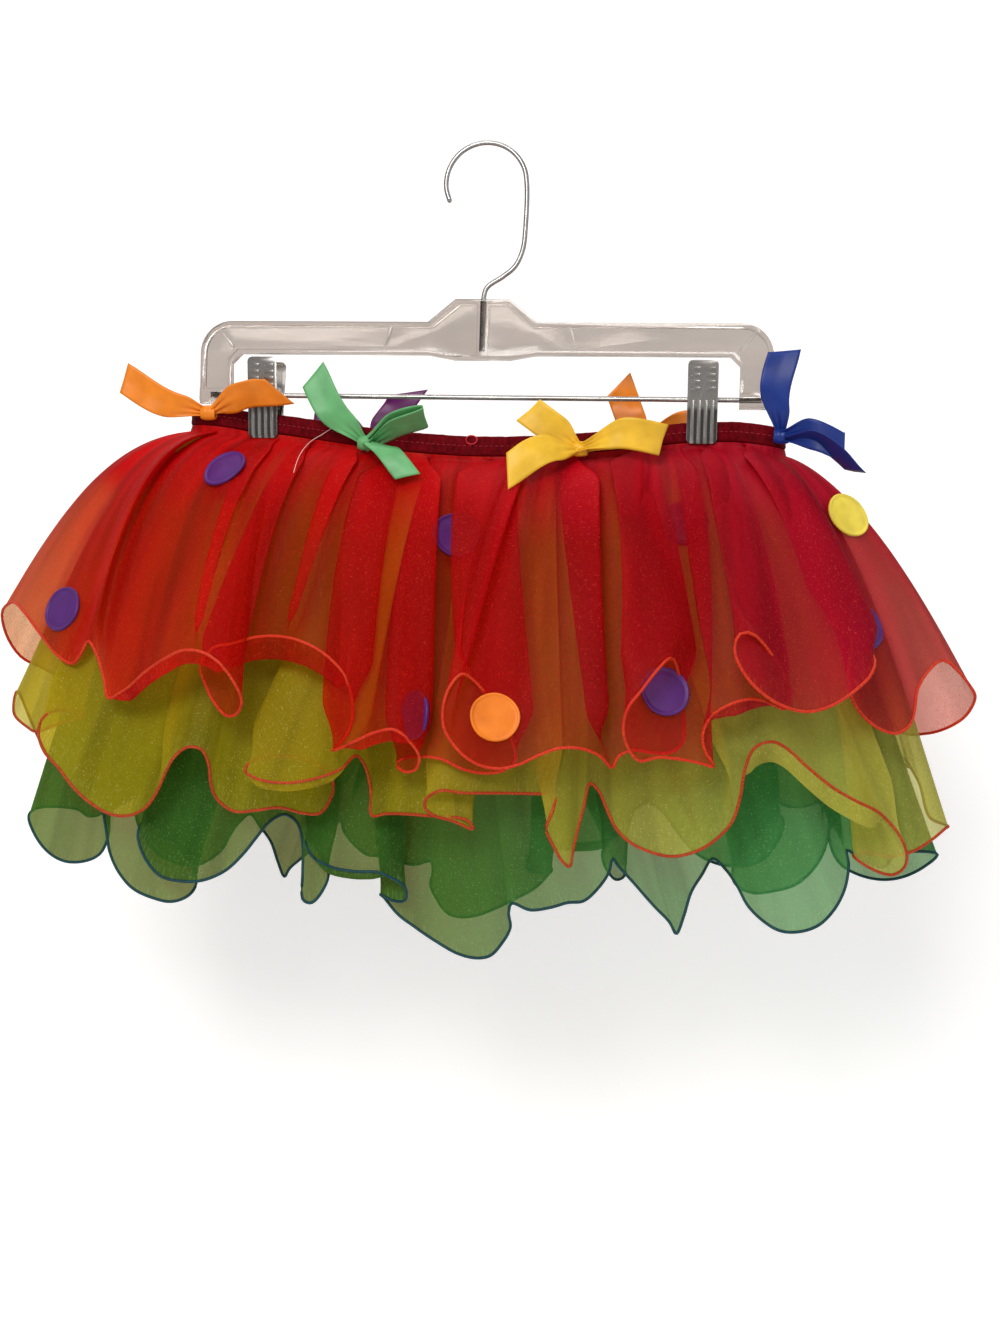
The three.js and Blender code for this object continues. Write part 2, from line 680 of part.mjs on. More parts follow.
function hangerBody() {
  const pocket = (RIM_DEPTH - WEB_DEPTH) / 2 + 1;
  const pocketY = WEB_DEPTH / 2 + pocket / 2;
  const humpTop = HANGER_TOP + HUMP_RISE;
  const humpFoot = HANGER_TOP - BAR_HEIGHT - HUMP_SAG;
  let body = plateSolid(hangerOutline(0), RIM_DEPTH, 0);
  for (const y of [-pocketY, pocketY]) {
    body = body.subtract(plateSolid(hangerOutline(RIM_WIDTH), pocket, y));
  }
  body = body.add(boxSolid(BOSS_WIDTH, RIM_DEPTH, humpTop - humpFoot, 0, 0, (humpTop + humpFoot) / 2));
  for (const { across, z, length, turn } of RIBS) {
    body = body.add(boxSolid(RIB_WIDTH, RIM_DEPTH - 1, length, across, 0, z, turn));
  }
  body = body.subtract(uprightSolid(ROD_R + RUNNING_GAP, HOOK_FOOT_Z - RUNNING_GAP, humpTop + 1));
  for (const side of [-1, 1]) {
    const armMiddle = side * (HANGER_HALF - ARM_WIDTH / 2);
    body = body.add(boxSolid(ARM_WIDTH, SOCKET_DEPTH, SOCKET_HEIGHT, armMiddle, 0, ROD_Z));
    const innerSide = side * (HANGER_HALF - ARM_WIDTH - 1);
    body = body.subtract(crossSolid(ROD_R + RUNNING_GAP, innerSide, side * (ROD_HALF + RUNNING_GAP)));
  }
  return body;
}

// The hook's wire: up through the boss, out to the side, and over in a crook.
function hookGeometry() {
  const centreZ = ROD_R - HOOK_R;
  const crook = Array.from({ length: CROOK_STEPS + 1 }, (_, i) => {
    const angle = (CROOK_SWEEP * i) / CROOK_STEPS;
    return vec(HOOK_R * Math.cos(angle), 0, centreZ + HOOK_R * Math.sin(angle));
  });
  const stem = HOOK_STEM.map(([x, z]) => vec(x, 0, z));
  const path = new THREE.CatmullRomCurve3([...stem, ...crook], false, 'centripetal');
  const section = new THREE.Shape().absarc(0, 0, ROD_R, 0, 2 * Math.PI);
  return new THREE.ExtrudeGeometry(section, { steps: 44, curveSegments: 4, extrudePath: path });
}

const wire = material(0xb8b8b8, 0.3, 1);
addPiece('hanger_body', geometryOf(hangerBody()), material(0xe6ddd2, 0.15));
addPiece('hanger_hook', hookGeometry(), wire);
addPiece('hanger_rod', rodGeometry(ROD_R, 2 * ROD_HALF), wire).position.set(0, 0, ROD_Z);

// ---------- clips ----------
// One leaf of a clip, with its jaw at the bottom, its two ears round the rod, rows of grip nubs on
// its thumb end and long ribs on its jaw end.
function leafSolid(earX) {
  const [w, h, r] = [LEAF_WIDTH / 2, LEAF_HEIGHT / 2, LEAF_CORNER];
  const outline = new THREE.Shape();
  outline.moveTo(-w + r, -h);
  outline.absarc(w - r, -h + r, r, -Math.PI / 2, 0);
  outline.absarc(w - r, h - r, r, 0, Math.PI / 2);
  outline.absarc(-w + r, h - r, r, Math.PI / 2, Math.PI);
  outline.absarc(-w + r, -h + r, r, Math.PI, 1.5 * Math.PI);
  let leaf = plateSolid(outline, LEAF_THICK, 0, 2);
  const outerY = -(LEAF_THICK + NUB_HEIGHT) / 2 + 0.1;
  for (let row = 0; row < GRIP_ROWS; row++) {
    const nubZ = h - NUB_FIRST - row * GRIP_PITCH;
    for (const x of [-w / 2, w / 2]) {
      leaf = leaf.add(boxSolid(NUB_WIDTH, NUB_HEIGHT, GRIP_BAR, x, outerY, nubZ));
    }
    const ribX = (row - (GRIP_ROWS - 1) / 2) * GRIP_PITCH;
    leaf = leaf.add(boxSolid(GRIP_BAR, NUB_HEIGHT, JAW_RIB, ribX, outerY, JAW_RIB_MIDDLE - h));
  }
  const tilt = Math.atan((LEAF_TOP_Y - JAW_Y) / LEAF_HEIGHT);
  const middleY = -(LEAF_TOP_Y + JAW_Y + LEAF_THICK) / 2;
  const middleZ = JAW_Z + h * Math.cos(tilt);
  leaf = leaf.transform(new THREE.Matrix4().makeRotationX(tilt).setPosition(0, middleY, middleZ).elements);
  const plateY = -(JAW_Y + (LEAF_TOP_Y - JAW_Y) * ((ROD_Z - JAW_Z) / LEAF_HEIGHT));
  for (const x of [-earX, earX]) {
    const middle = (EAR_PAST_ROD + plateY) / 2;
    leaf = leaf.add(boxSolid(LEAF_THICK, EAR_PAST_ROD - plateY, EAR_HEIGHT, x, middle, ROD_Z));
  }
  return leaf.subtract(crossSolid(ROD_R + RUNNING_GAP, -LEAF_WIDTH, LEAF_WIDTH));
}

const springProfile = [[SPRING_IN, -SPRING_HALF], [SPRING_OUT, -SPRING_HALF], [SPRING_OUT, SPRING_HALF],
  [SPRING_IN, SPRING_HALF], [SPRING_IN, -SPRING_HALF]].map(([r, y]) => new THREE.Vector2(r, y));
for (const [side, x] of [['left', -CLIP_X], ['right', CLIP_X]]) {
  const clip = new THREE.Group();
  clip.position.set(x, 0, 0);
  tutu.add(clip);
  const steel = material(0x9a9c9e, 0.35, 1);
  addPiece(`clip_${side}_front`, geometryOf(leafSolid(EAR_X.front)), steel, clip);
  addPiece(`clip_${side}_back`, geometryOf(leafSolid(EAR_X.back)), steel, clip).rotation.z = Math.PI;
  const spring = new THREE.LatheGeometry(springProfile, 12).rotateZ(Math.PI / 2);
  addPiece(`clip_${side}_spring`, spring, steel, clip).position.set(0, 0, ROD_Z);
}

export default tutu;
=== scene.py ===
"""Dresses a packed tutu skirt: three sheer organza layers with corded hems, satin bows and dots,
and the clear clip hanger that holds it. Run it as a script in Blender 4.5."""

import math

import bmesh
import bpy
import numpy as np
from bpy.props import FloatProperty, FloatVectorProperty, IntProperty, PointerProperty
from mathutils import Matrix, Vector


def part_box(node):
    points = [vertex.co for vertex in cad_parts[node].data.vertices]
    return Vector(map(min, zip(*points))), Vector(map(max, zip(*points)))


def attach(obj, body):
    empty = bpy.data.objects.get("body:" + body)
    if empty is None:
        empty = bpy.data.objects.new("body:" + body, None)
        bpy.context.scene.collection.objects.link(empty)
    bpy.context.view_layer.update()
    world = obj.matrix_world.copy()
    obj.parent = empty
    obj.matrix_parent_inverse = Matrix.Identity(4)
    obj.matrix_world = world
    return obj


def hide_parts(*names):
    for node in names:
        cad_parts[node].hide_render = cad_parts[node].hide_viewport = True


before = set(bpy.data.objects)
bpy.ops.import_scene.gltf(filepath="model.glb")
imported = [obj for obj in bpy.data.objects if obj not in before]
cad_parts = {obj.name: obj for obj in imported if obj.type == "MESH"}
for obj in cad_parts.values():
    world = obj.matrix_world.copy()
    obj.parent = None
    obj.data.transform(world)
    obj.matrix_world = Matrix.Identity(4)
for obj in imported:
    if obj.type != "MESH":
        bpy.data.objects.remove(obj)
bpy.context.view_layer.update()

bl_info = {
    "name": "Tutu Skirt Dresser",
    "version": (1, 0, 0),
    "blender": (4, 5, 0),
    "location": "View3D > Sidebar > Tutu",
    "description": "Hangs organza layers, ribbon bows and satin dots on the packed skirt",
    "category": "Object",
}

MM = 0.001
TURN = 2 * math.pi

# ---------- the waist and the hems, in millimetres ----------
# The waist loop: across, half of the gap from front to back, height of the band's top edge.
WAIST = [
    (-182, 0, -162), (-178.5, 7, -162), (-169, 10.5, -162.5), (-158, 8, -163.5),
    (-147, 2.9, -165), (-125, 2.9, -167), (-95, 7, -171), (-50, 14, -177), (0, 17, -180),
    (50, 14, -178), (95, 7, -173), (125, 2.9, -169), (147, 2.9, -168), (158, 8, -168.5),
    (171, 10.5, -170), (181.5, 7, -171.5), (185, 0, -172),
]
BAND_HEIGHT = 12
BAND_THICK = 3.6
SEAM_GAP = 0.3

# A layer's folds: root along the band in percent, then where its hem lies: across, out, drop.
RED_FOLDS = [
    (0, -301, 0, 288), (2.5, -292, 26, 294), (5.5, -262, 46, 306), (8, -238, 62, 326),
    (11, -226, 50, 311), (15, -202, 88, 343), (20, -162, 100, 315), (25, -124, 112, 347),
    (28, -134, 84, 316), (32, -104, 82, 304), (37, -60, 104, 350), (40, -66, 84, 366),
    (44, -32, 108, 354), (48, -18, 100, 376), (51, -12, 78, 369), (54, 10, 82, 376),
    (57, 3, 116, 336), (61, 26, 106, 371), (66, 62, 88, 362), (71, 90, 78, 373),
    (74, 116, 114, 316), (77, 108, 102, 361), (81, 142, 80, 366), (84, 168, 94, 334),
    (87, 162, 116, 303), (89.5, 198, 106, 335), (92, 232, 82, 312), (94, 230, 60, 327),
    (96, 256, 46, 347), (98, 286, 28, 314), (100, 302, 0, 326),
]
YELLOW_FOLDS = [
    (0, -296, 0, 345), (3, -286, 20, 352), (6, -262, 34, 366), (10, -236, 50, 388),
    (15, -200, 66, 411), (21, -156, 76, 371), (26, -128, 68, 405), (31, -92, 58, 408),
    (34, -72, 54, 391), (37, -90, 82, 382), (40, -64, 82, 384), (43, -48, 62, 403),
    (48, -12, 74, 402), (52, 10, 64, 409), (55, 24, 52, 397), (59, 52, 58, 392),
    (62, 64, 78, 425), (66, 82, 58, 385), (70, 112, 66, 418), (75, 146, 70, 414),
    (79, 166, 78, 373), (83, 186, 76, 358), (88, 226, 62, 388), (92, 252, 46, 411),
    (95, 250, 30, 426), (97.5, 278, 16, 416), (100, 290, 0, 408),
]
GREEN_FOLDS = [
    (0, -282, 0, 420), (2.5, -272, 14, 436), (5.5, -248, 22, 449), (9, -222, 30, 436),
    (12, -198, 38, 424), (16, -172, 50, 452), (21, -130, 48, 438), (24, -116, 34, 414),
    (27, -120, 48, 458), (30, -108, 32, 436), (33, -88, 48, 459), (36, -76, 38, 446),
    (40, -56, 48, 459), (44, -34, 34, 449), (47, -18, 50, 472), (51, 4, 58, 485),
    (56, 32, 50, 466), (59, 36, 32, 457), (63, 62, 44, 456), (68, 90, 34, 432),
    (71.5, 114, 46, 448), (74, 130, 52, 466), (77, 142, 36, 432), (80, 156, 30, 428),
    (83, 168, 40, 446), (87, 184, 46, 464), (92, 214, 36, 459), (96, 236, 20, 438),
    (98, 254, 12, 430), (100, 262, 0, 425),
]
# The hems as they hang, with each lobe's turns, in the same columns. The folds above carry the
# flare, and these rows give what the cloth does about it.
RED_HEM = [
    (0, -301, 0, 288), (1.2, -283, 22, 294), (2.4, -265, 36, 309), (3.6, -249, 50, 320),
    (4.6, -239, 54, 324), (5.4, -233, 57, 319), (6.2, -227, 59, 310), (7.2, -220, 62, 319),
    (8.2, -214, 66, 333), (9, -210, 70, 343), (10, -197, 77, 338), (11.5, -182, 87, 327),
    (13, -168, 96, 319), (14.5, -154, 102, 313), (16, -141, 106, 314), (17.5, -130, 106, 321),
    (18.7, -124, 102, 330), (19.6, -121, 96, 341), (20.4, -126, 90, 349), (21.2, -134, 84, 350),
    (22, -142, 80, 343), (22.8, -148, 78, 333), (23.6, -152, 76, 322), (24.4, -145, 76, 312),
    (25.4, -133, 76, 309), (26.8, -119, 78, 305), (28.4, -103, 82, 304), (30, -87, 88, 307),
    (31.6, -74, 88, 314), (33, -64, 84, 325), (34, -60, 78, 340), (34.8, -62, 75, 356),
    (35.4, -67, 80, 365), (36, -69, 88, 368), (37, -54, 98, 362), (38.2, -41, 104, 356),
    (39.4, -30, 106, 354), (40.4, -22, 102, 360), (41.2, -17, 96, 369), (41.8, -20, 90, 377),
    (42.4, -28, 84, 379), (43, -33, 80, 375), (43.6, -26, 82, 371), (44.6, -16, 84, 370),
    (45.8, -6, 85, 371), (47, 6, 86, 376), (48.2, 19, 86, 378), (49.2, 30, 87, 376),
    (50, 37, 88, 370), (50.8, 34, 91, 356), (51.6, 24, 92, 339), (52.4, 15, 100, 326),
    (53.2, 8, 108, 321), (54, 2, 112, 328), (54.8, -1, 115, 339), (55.8, 0, 116, 351),
    (57, 7, 115, 362), (58.4, 17, 112, 370), (60, 28, 108, 373), (61.6, 40, 105, 371),
    (63, 52, 104, 365), (64.4, 63, 102, 361), (65.8, 75, 99, 361), (67, 85, 94, 365),
    (68, 92, 88, 372), (68.8, 95, 86, 366), (69.7, 103, 85, 362), (70.6, 113, 84, 363),
    (71.6, 124, 80, 363), (72.4, 131, 78, 357), (73, 131, 78, 341), (73.6, 129, 82, 324),
    (74.2, 124, 98, 309), (74.8, 116, 112, 316), (75.4, 108, 116, 327), (76, 101, 117, 337),
    (76.8, 99, 116, 348), (77.6, 102, 112, 359), (78.4, 108, 107, 366), (79.4, 118, 103, 364),
    (80.4, 130, 99, 365), (81.3, 141, 95, 367), (82, 149, 92, 369), (82.6, 144, 93, 361),
    (83, 142, 94, 352), (83.4, 145, 96, 343), (83.9, 155, 100, 335), (84.5, 167, 98, 331),
    (85, 179, 90, 333), (85.5, 188, 84, 336), (85.9, 190, 88, 326), (86.3, 178, 98, 305),
    (86.7, 167, 107, 294), (87, 160, 113, 295), (87.4, 158, 117, 304), (87.9, 163, 117, 315),
    (88.5, 172, 115, 325), (89.2, 185, 110, 333), (89.9, 198, 105, 336), (90.6, 211, 98, 333),
    (91.3, 224, 90, 325), (91.9, 234, 84, 315), (92.4, 236, 77, 306), (92.8, 229, 74, 299),
    (93.2, 218, 70, 291), (93.6, 211, 66, 286), (94, 215, 63, 283), (94.4, 224, 61, 297),
    (94.8, 223, 60, 316), (95.2, 225, 60, 328), (95.7, 230, 59, 337), (96.2, 240, 56, 346),
    (96.7, 252, 50, 350), (97.2, 260, 43, 346), (97.7, 264, 33, 338), (98.2, 266, 26, 326),
    (98.7, 272, 18, 316), (99.3, 283, 9, 308), (100, 302, 0, 326),
]
# The back's rows beside the seams, where the red hem stands open like a funnel and the yellow one
# turns in.
RED_SEAMS = [
    (100.7, 304, -6, 332), (101.5, 300, -13, 342), (102.4, 291, -22, 350),
    (103.4, 279, -33, 355), (104.4, 265, -44, 355), (196.2, -287, -48, 336),
    (197.2, -295, -38, 331), (198, -305, -27, 324), (198.7, -311, -16, 309),
    (199.4, -310, -7, 294),
]
YELLOW_SEAMS = [(101, 280, -5, 404), (102.2, 274, -14, 384), (103.4, 266, -24, 370)]
YELLOW_HEM = [
    (0, -296, 0, 345), (1.5, -294, 10, 358), (3, -280, 22, 366), (4, -270, 30, 368),
    (5, -254, 34, 362), (6, -235, 42, 356), (6.8, -240, 48, 353), (7.6, -249, 54, 353),
    (8.4, -255, 58, 357), (9.2, -257, 60, 366), (10, -253, 61, 377), (11, -243, 62, 387),
    (12, -233, 64, 398), (13.2, -221, 66, 407), (14.4, -208, 67, 413), (15.6, -196, 68, 413),
    (16.8, -185, 70, 407), (17.8, -178, 72, 397), (18.8, -172, 75, 385), (19.8, -166, 78, 376),
    (21, -158, 79, 370), (22, -150, 78, 371), (22.8, -146, 76, 379), (23.6, -145, 73, 392),
    (24.4, -142, 70, 401), (25.6, -132, 68, 408), (27, -119, 67, 407), (28.4, -105, 66, 405),
    (29.8, -91, 64, 408), (30.8, -82, 61, 408), (31.6, -77, 58, 401), (32.2, -75, 56, 391),
    (32.8, -80, 60, 382), (33.6, -92, 70, 375), (34.4, -108, 80, 374), (35, -118, 88, 377),
    (35.5, -119, 92, 382), (36.2, -112, 93, 386), (37.4, -97, 92, 388), (38.6, -82, 88, 386),
    (39.8, -66, 80, 380), (40.6, -59, 72, 372), (41.4, -55, 62, 379), (42, -52, 58, 394),
    (42.6, -51, 60, 408), (43.6, -41, 66, 406), (45, -27, 72, 405), (46.4, -13, 76, 405),
    (47.8, 0, 77, 405), (48.8, 9, 76, 407), (49.4, 12, 74, 412), (50.2, 0, 78, 407),
    (50.9, -10, 82, 404), (51.5, -15, 85, 399), (52.1, -14, 86, 394), (52.8, -6, 86, 389),
    (54, 6, 84, 390), (55.4, 20, 80, 390), (56.8, 34, 76, 390), (58.2, 49, 74, 390),
    (59.2, 59, 74, 390), (59.9, 58, 78, 399), (60.6, 55, 82, 409), (61.3, 60, 84, 419),
    (62, 65, 84, 427), (62.7, 69, 82, 430), (63.4, 70, 78, 423), (64.2, 72, 72, 411),
    (65, 75, 66, 397), (65.8, 78, 62, 384), (66.6, 83, 62, 388), (67.4, 88, 64, 398),
    (68.2, 94, 67, 409), (69.2, 102, 70, 416), (70.4, 114, 72, 421), (71.6, 127, 73, 423),
    (72.8, 141, 74, 419), (73.8, 151, 76, 412), (74.8, 160, 78, 401), (75.6, 164, 80, 387),
    (76.4, 166, 84, 372), (77.4, 171, 86, 359), (78.6, 180, 86, 355), (79.8, 188, 83, 358),
    (81.4, 201, 80, 369), (83.2, 215, 76, 380), (85, 229, 70, 388), (86.8, 243, 64, 395),
    (88.4, 254, 58, 406), (89.8, 260, 52, 418), (90.8, 260, 46, 427), (91.6, 254, 40, 433),
    (92.4, 243, 35, 431), (93.2, 232, 30, 424), (94, 241, 24, 423), (95, 254, 20, 425),
    (96.4, 268, 16, 422), (97.8, 280, 10, 415), (99, 288, 4, 409), (100, 290, 0, 408),
]
GREEN_HEM = [
    (0, -282, 0, 420), (0.8, -285, 5, 424), (1.8, -278, 11, 436), (3, -266, 17, 446),
    (4.2, -254, 21, 450), (5.4, -241, 24, 449), (6.6, -230, 27, 444), (7.6, -224, 30, 435),
    (8.4, -222, 32, 422), (9, -225, 34, 414), (9.6, -222, 36, 428), (10.3, -219, 38, 440),
    (11.2, -213, 40, 451), (12.4, -203, 42, 461), (13.6, -190, 44, 466), (14.8, -177, 44, 468),
    (15.8, -167, 42, 464), (16.6, -163, 40, 457), (17.2, -167, 40, 443), (17.8, -181, 46, 428),
    (18.3, -192, 52, 418), (18.8, -195, 56, 425), (19.4, -190, 58, 439), (20.2, -180, 58, 450),
    (21.2, -167, 57, 453), (22.2, -154, 56, 452), (23, -141, 54, 446), (23.8, -131, 51, 436),
    (24.6, -123, 48, 425), (25.4, -116, 45, 416), (26, -108, 42, 412), (26.8, -100, 42, 417),
    (27.4, -96, 44, 430), (28, -95, 47, 448), (28.6, -94, 49, 462), (29.4, -89, 48, 464),
    (30.2, -83, 45, 457), (31, -80, 42, 446), (31.6, -87, 40, 434), (32.2, -94, 44, 427),
    (32.8, -89, 50, 435), (33.8, -77, 54, 441), (35, -62, 56, 443), (36.2, -46, 56, 443),
    (37.2, -36, 55, 447), (38, -31, 52, 452), (38.6, -32, 48, 460), (39.2, -40, 44, 461),
    (39.8, -48, 42, 458), (40.6, -46, 38, 461), (41.4, -38, 38, 470), (42.8, -27, 40, 477),
    (44.2, -13, 42, 485), (45.6, 0, 44, 491), (46.8, 11, 45, 493), (48, 20, 46, 491),
    (49, 27, 47, 483), (50, 32, 48, 473), (51, 31, 50, 464), (52, 33, 52, 458),
    (53.2, 44, 54, 461), (54.8, 56, 54, 459), (56.2, 66, 52, 456), (57.4, 75, 50, 455),
    (58.6, 83, 46, 448), (59.6, 89, 42, 439), (60.4, 91, 38, 431), (61.4, 94, 36, 435),
    (62.6, 104, 38, 445), (64, 116, 42, 457), (65.4, 126, 46, 466), (66.4, 130, 48, 472),
    (67.2, 134, 46, 462), (68, 138, 42, 448), (69, 144, 38, 438), (70.4, 150, 34, 429),
    (72, 158, 36, 435), (73.4, 165, 40, 444), (74.8, 171, 44, 454), (76.4, 180, 48, 462),
    (78.4, 190, 50, 467), (80.6, 201, 50, 467), (82.8, 212, 48, 463), (85, 221, 44, 454),
    (87, 227, 40, 442), (88.6, 229, 36, 429), (90, 228, 32, 421), (92, 235, 28, 425),
    (94, 244, 22, 430), (96, 252, 15, 432), (98, 258, 7, 426), (100, 262, 0, 425),
]
# Pleats between the waist and the hem: root, half of the span in percent, half of the cloth that
# lies double, and how far the left side stands in front of the right.
RED_TUCKS = [
    (6, 1.8, 6, 3), (15.6, 1.8, 7, -3), (22, 2.4, 10, 4), (29.5, 1.8, 8, 3), (35.2, 2.3, 12, -4),
    (42.2, 2.2, 12, 4), (51.6, 2.8, 16, -5), (57.0, 1.4, 6, 3), (66.4, 2.3, 13, 4),
    (74, 2.4, 14, -5), (82.8, 1.6, 7, 3), (86.3, 1.8, 9, -4), (93, 2.2, 11, 5),
]
YELLOW_TUCKS = [
    (8, 2.2, 8, -3), (18, 2.4, 10, 3), (33.5, 2.4, 12, -4), (41, 2.0, 8, 3), (50.5, 2.0, 8, -3),
    (60, 2.2, 9, 3), (75, 2.2, 10, -3), (90, 2.2, 9, 3),
]
GREEN_TUCKS = [
    (9, 2.0, 8, -3), (17.5, 2.2, 10, -4), (26.5, 2.0, 8, 3), (31.5, 2.0, 8, -3), (39.5, 2.0, 8, 3),
    (60, 2.0, 8, 3), (69, 2.0, 8, -3), (88, 2.2, 8, 3),
]
# Where a hem curls up on the outside: from and to, as roots, and how high.
RED_CURLS = [(9, 18, 8), (24, 33.5, 14), (36.2, 40.8, 7), (83, 85.4, 8)]
YELLOW_CURLS = [(35, 40.5, 5), (76, 87.5, 12)]
GREEN_CURLS = [(32.5, 37, 5)]
# Each layer's folds, hem, seam rows, pleats and curls, its distance from the band's middle, its
# neck under the band, the power by which its lobes die out upwards, and its flat cut in metres:
# hem length, drop, area.
LAYERS = {
    "red": (
        RED_FOLDS, RED_HEM, RED_SEAMS, RED_TUCKS, RED_CURLS, 1.3, 4.0, 0.9, (3.1, 0.21, 0.47)),
    "yellow": (
        YELLOW_FOLDS, YELLOW_HEM, YELLOW_SEAMS, YELLOW_TUCKS, YELLOW_CURLS, 0.0, 5.5, 1.7,
        (2.4, 0.26, 0.46)),
    "green": (
        GREEN_FOLDS, GREEN_HEM, [], GREEN_TUCKS, GREEN_CURLS, -1.3, 7.0, 1.7,
        (2.1, 0.29, 0.46)),
}
WAIST_HALF = 182
FLARE = 0.62  # power of the flare: below 1 the cloth springs out at the top
LEFT_PUFF = 0.2  # the left side springs out more, by this much less power
FLARE_EASE = 0.004  # keeps the flare's slope finite where it starts
GATHERS = 20
GATHER_DEPTH = 2.0
GATHER_PEAK = 6.75  # makes the greatest level (1 - level)^2 equal 1
PLEAT_PEAK = 1.54  # makes the greatest sin(pi t) cos(pi t / 2)^2 equal 1
BACK_LIFT = 0.985  # the back's folds end a little higher than the front's
SEAM_EASE = 2.5
ROW_CROWDING = 1.15  # power by which a layer's rows stand closer near the waist
CURL_OUT = 0.55  # a curl's reach outwards and upwards, as shares of its height
CURL_UP = 0.2
CURL_BELLY = 1.6  # how far its Bezier curve's middle point hangs below
CURL_EASE = 1.3  # roots over which a curl starts and ends
CURL_SHARE = 15  # share of the fall that a metre of curl takes

THREAD_LOOP_ROOT = 49
# A loose end of pale thread beside the second bow.
LOOSE_THREAD = [
    (-91.7, -10.6, -175.7), (-97.5, -9.8, -179.4), (-104.0, -8.7, -183.0),
    (-106.6, -24.1, -191.4), (-107.0, -35.0, -199.1), (-107.3, -40.5, -205.6)]

# ---------- bows: knot's root, its depth under the band's top edge, and stretches of ribbon ----------
# A stretch: reach from the knot, sag of its middle, width direction at its end, looped or not,
# and how far its end is cut aslant.
BOWS = {
    "orange": (5, 5, [
        ((-52, -8, 20), (0, -3, -5), (0.7, 0, 0.7), False, 5),
        ((46, -4, 13), (0, -2, 4), (-0.2, -0.6, 0.8), False, -6)]),
    "green": (32, 10, [
        ((-33, -4, 41), (-3, -4, -3), (0.95, 0, 0.3), False, 6),
        ((38, -10, 16), (0, -6, 2), (0, -0.8, 0.5), True, 0),
        ((31, -24, -22), (0, -6, 6), (0.97, 0, -0.05), False, -3)]),
    "yellow": (66, 10, [
        ((-31, -6, 22), (0, -3, 0), (0.7, 0, 0.7), True, 0),
        ((50, -8, 5), (0, -6, 6), (0.3, 0, 0.95), True, 0),
        ((-41, -24, -16), (0, -6, 6), (0.6, 0, -0.8), False, 6)]),
    "blue": (97.5, 6, [
        ((0, -6, 50), (-5, -4, 0), (0.9, 0, -0.4), False, 5),
        ((36, -14, -8), (0, -6, 4), (0.1, 0, -1), True, 0),
        ((42, -24, -22), (0, -8, 8), (0.2, -0.9, 0.2), False, 5)]),
    "orange_back": (125, 6, [
        ((-14, 8, 36), (0, 4, 0), (0.9, 0, 0.2), False, 6),
        ((46, 10, 12), (0, 6, 4), (0.1, 0.2, 1), True, 0),
        ((-30, 26, -18), (0, 8, 6), (0.6, 0, 0.8), False, 5)]),
    "purple_back": (169, 6, [
        ((22, 8, 32), (0, 4, 0), (0.9, 0, -0.3), False, 6),
        ((-40, 10, 14), (0, 6, 4), (0.1, 0.2, 1), True, 0),
        ((30, 26, -18), (0, 8, 6), (0.6, 0, -0.8), False, 5)]),
}
BOW_SLOTS = {
    "orange": "orange_ribbon", "green": "green_ribbon", "yellow": "yellow_ribbon",
    "blue": "blue_ribbon", "orange_back": "orange_ribbon", "purple_back": "purple_ribbon",
}
# A dot's layer, its root, its share of the fall from the band to the hem, and its satin.
DOTS = {
    "left_side": ("red", 3.2, 0.84, "purple"), "left_top": ("red", 13.2, 0.16, "purple"),
    "middle_low": ("red", 41.6, 0.86, "purple"), "middle_top": ("red", 47.2, 0.26, "purple"),
    "middle_orange": ("red", 59.5, 0.85, "orange"),
    "under_red": ("yellow", 77.9, 0.21, "purple"), "right_low": ("red", 79.5, 0.80, "purple"),
    "right_side": ("red", 96.4, 0.70, "purple"), "right_yellow": ("red", 98.6, 0.29, "yellow"),
    "back_1": ("red", 112.3, 0.21, "purple"), "back_2": ("red", 128.4, 0.61, "orange"),
    "back_3": ("red", 147.4, 0.17, "yellow"), "back_4": ("red", 159.1, 0.73, "purple"),
    "back_5": ("red", 175.9, 0.16, "purple"), "back_6": ("red", 190.4, 0.53, "yellow"),
}
DOT_PATCH = (1.7, 0.09)  # half of the cloth that seats a dot: root percent, share of the rows
# A dot's rings from its front's middle, over the raised rim, to its back's middle: share of the
# radius, and height over the middle surface in thicknesses.
DOT_RINGS = [
    (0.02, 0.62), (0.3, 0.62), (0.6, 0.58), (0.78, 0.45), (0.85, 0.30), (0.89, 0.62),
    (0.94, 1.0), (0.98, 0.85), (1.0, 0.3), (0.995, -0.2), (0.96, -0.48), (0.8, -0.5),
    (0.4, -0.5), (0.02, -0.5)]
DOT_SIDES = 72
DOT_LIFT = 2  # the most by which a dot is raised over cloth that stands proud under it
# The hook's wire below its crook, as across and height; the crook itself is an arc.
HOOK_STEM = [(0, -126), (0, -110), (0, -94), (2, -87), (12, -80), (19, -74), (23.5, -64), (25, -48)]
HOOK_R = 25
CROOK_SWEEP = 1.15 * math.pi
ROD_R = 1.55
ROD_Z = -154.4
CLIP_X = 136
RIB_STEP = 4  # between the ribs of a clip's jaw
JAW_TOP = -159
LEAF_EDGE = 0.22
COIL_TURNS = 6
COIL_R = 2.5
COIL_WIRE_R = 0.5
COIL_LONG = 10.4


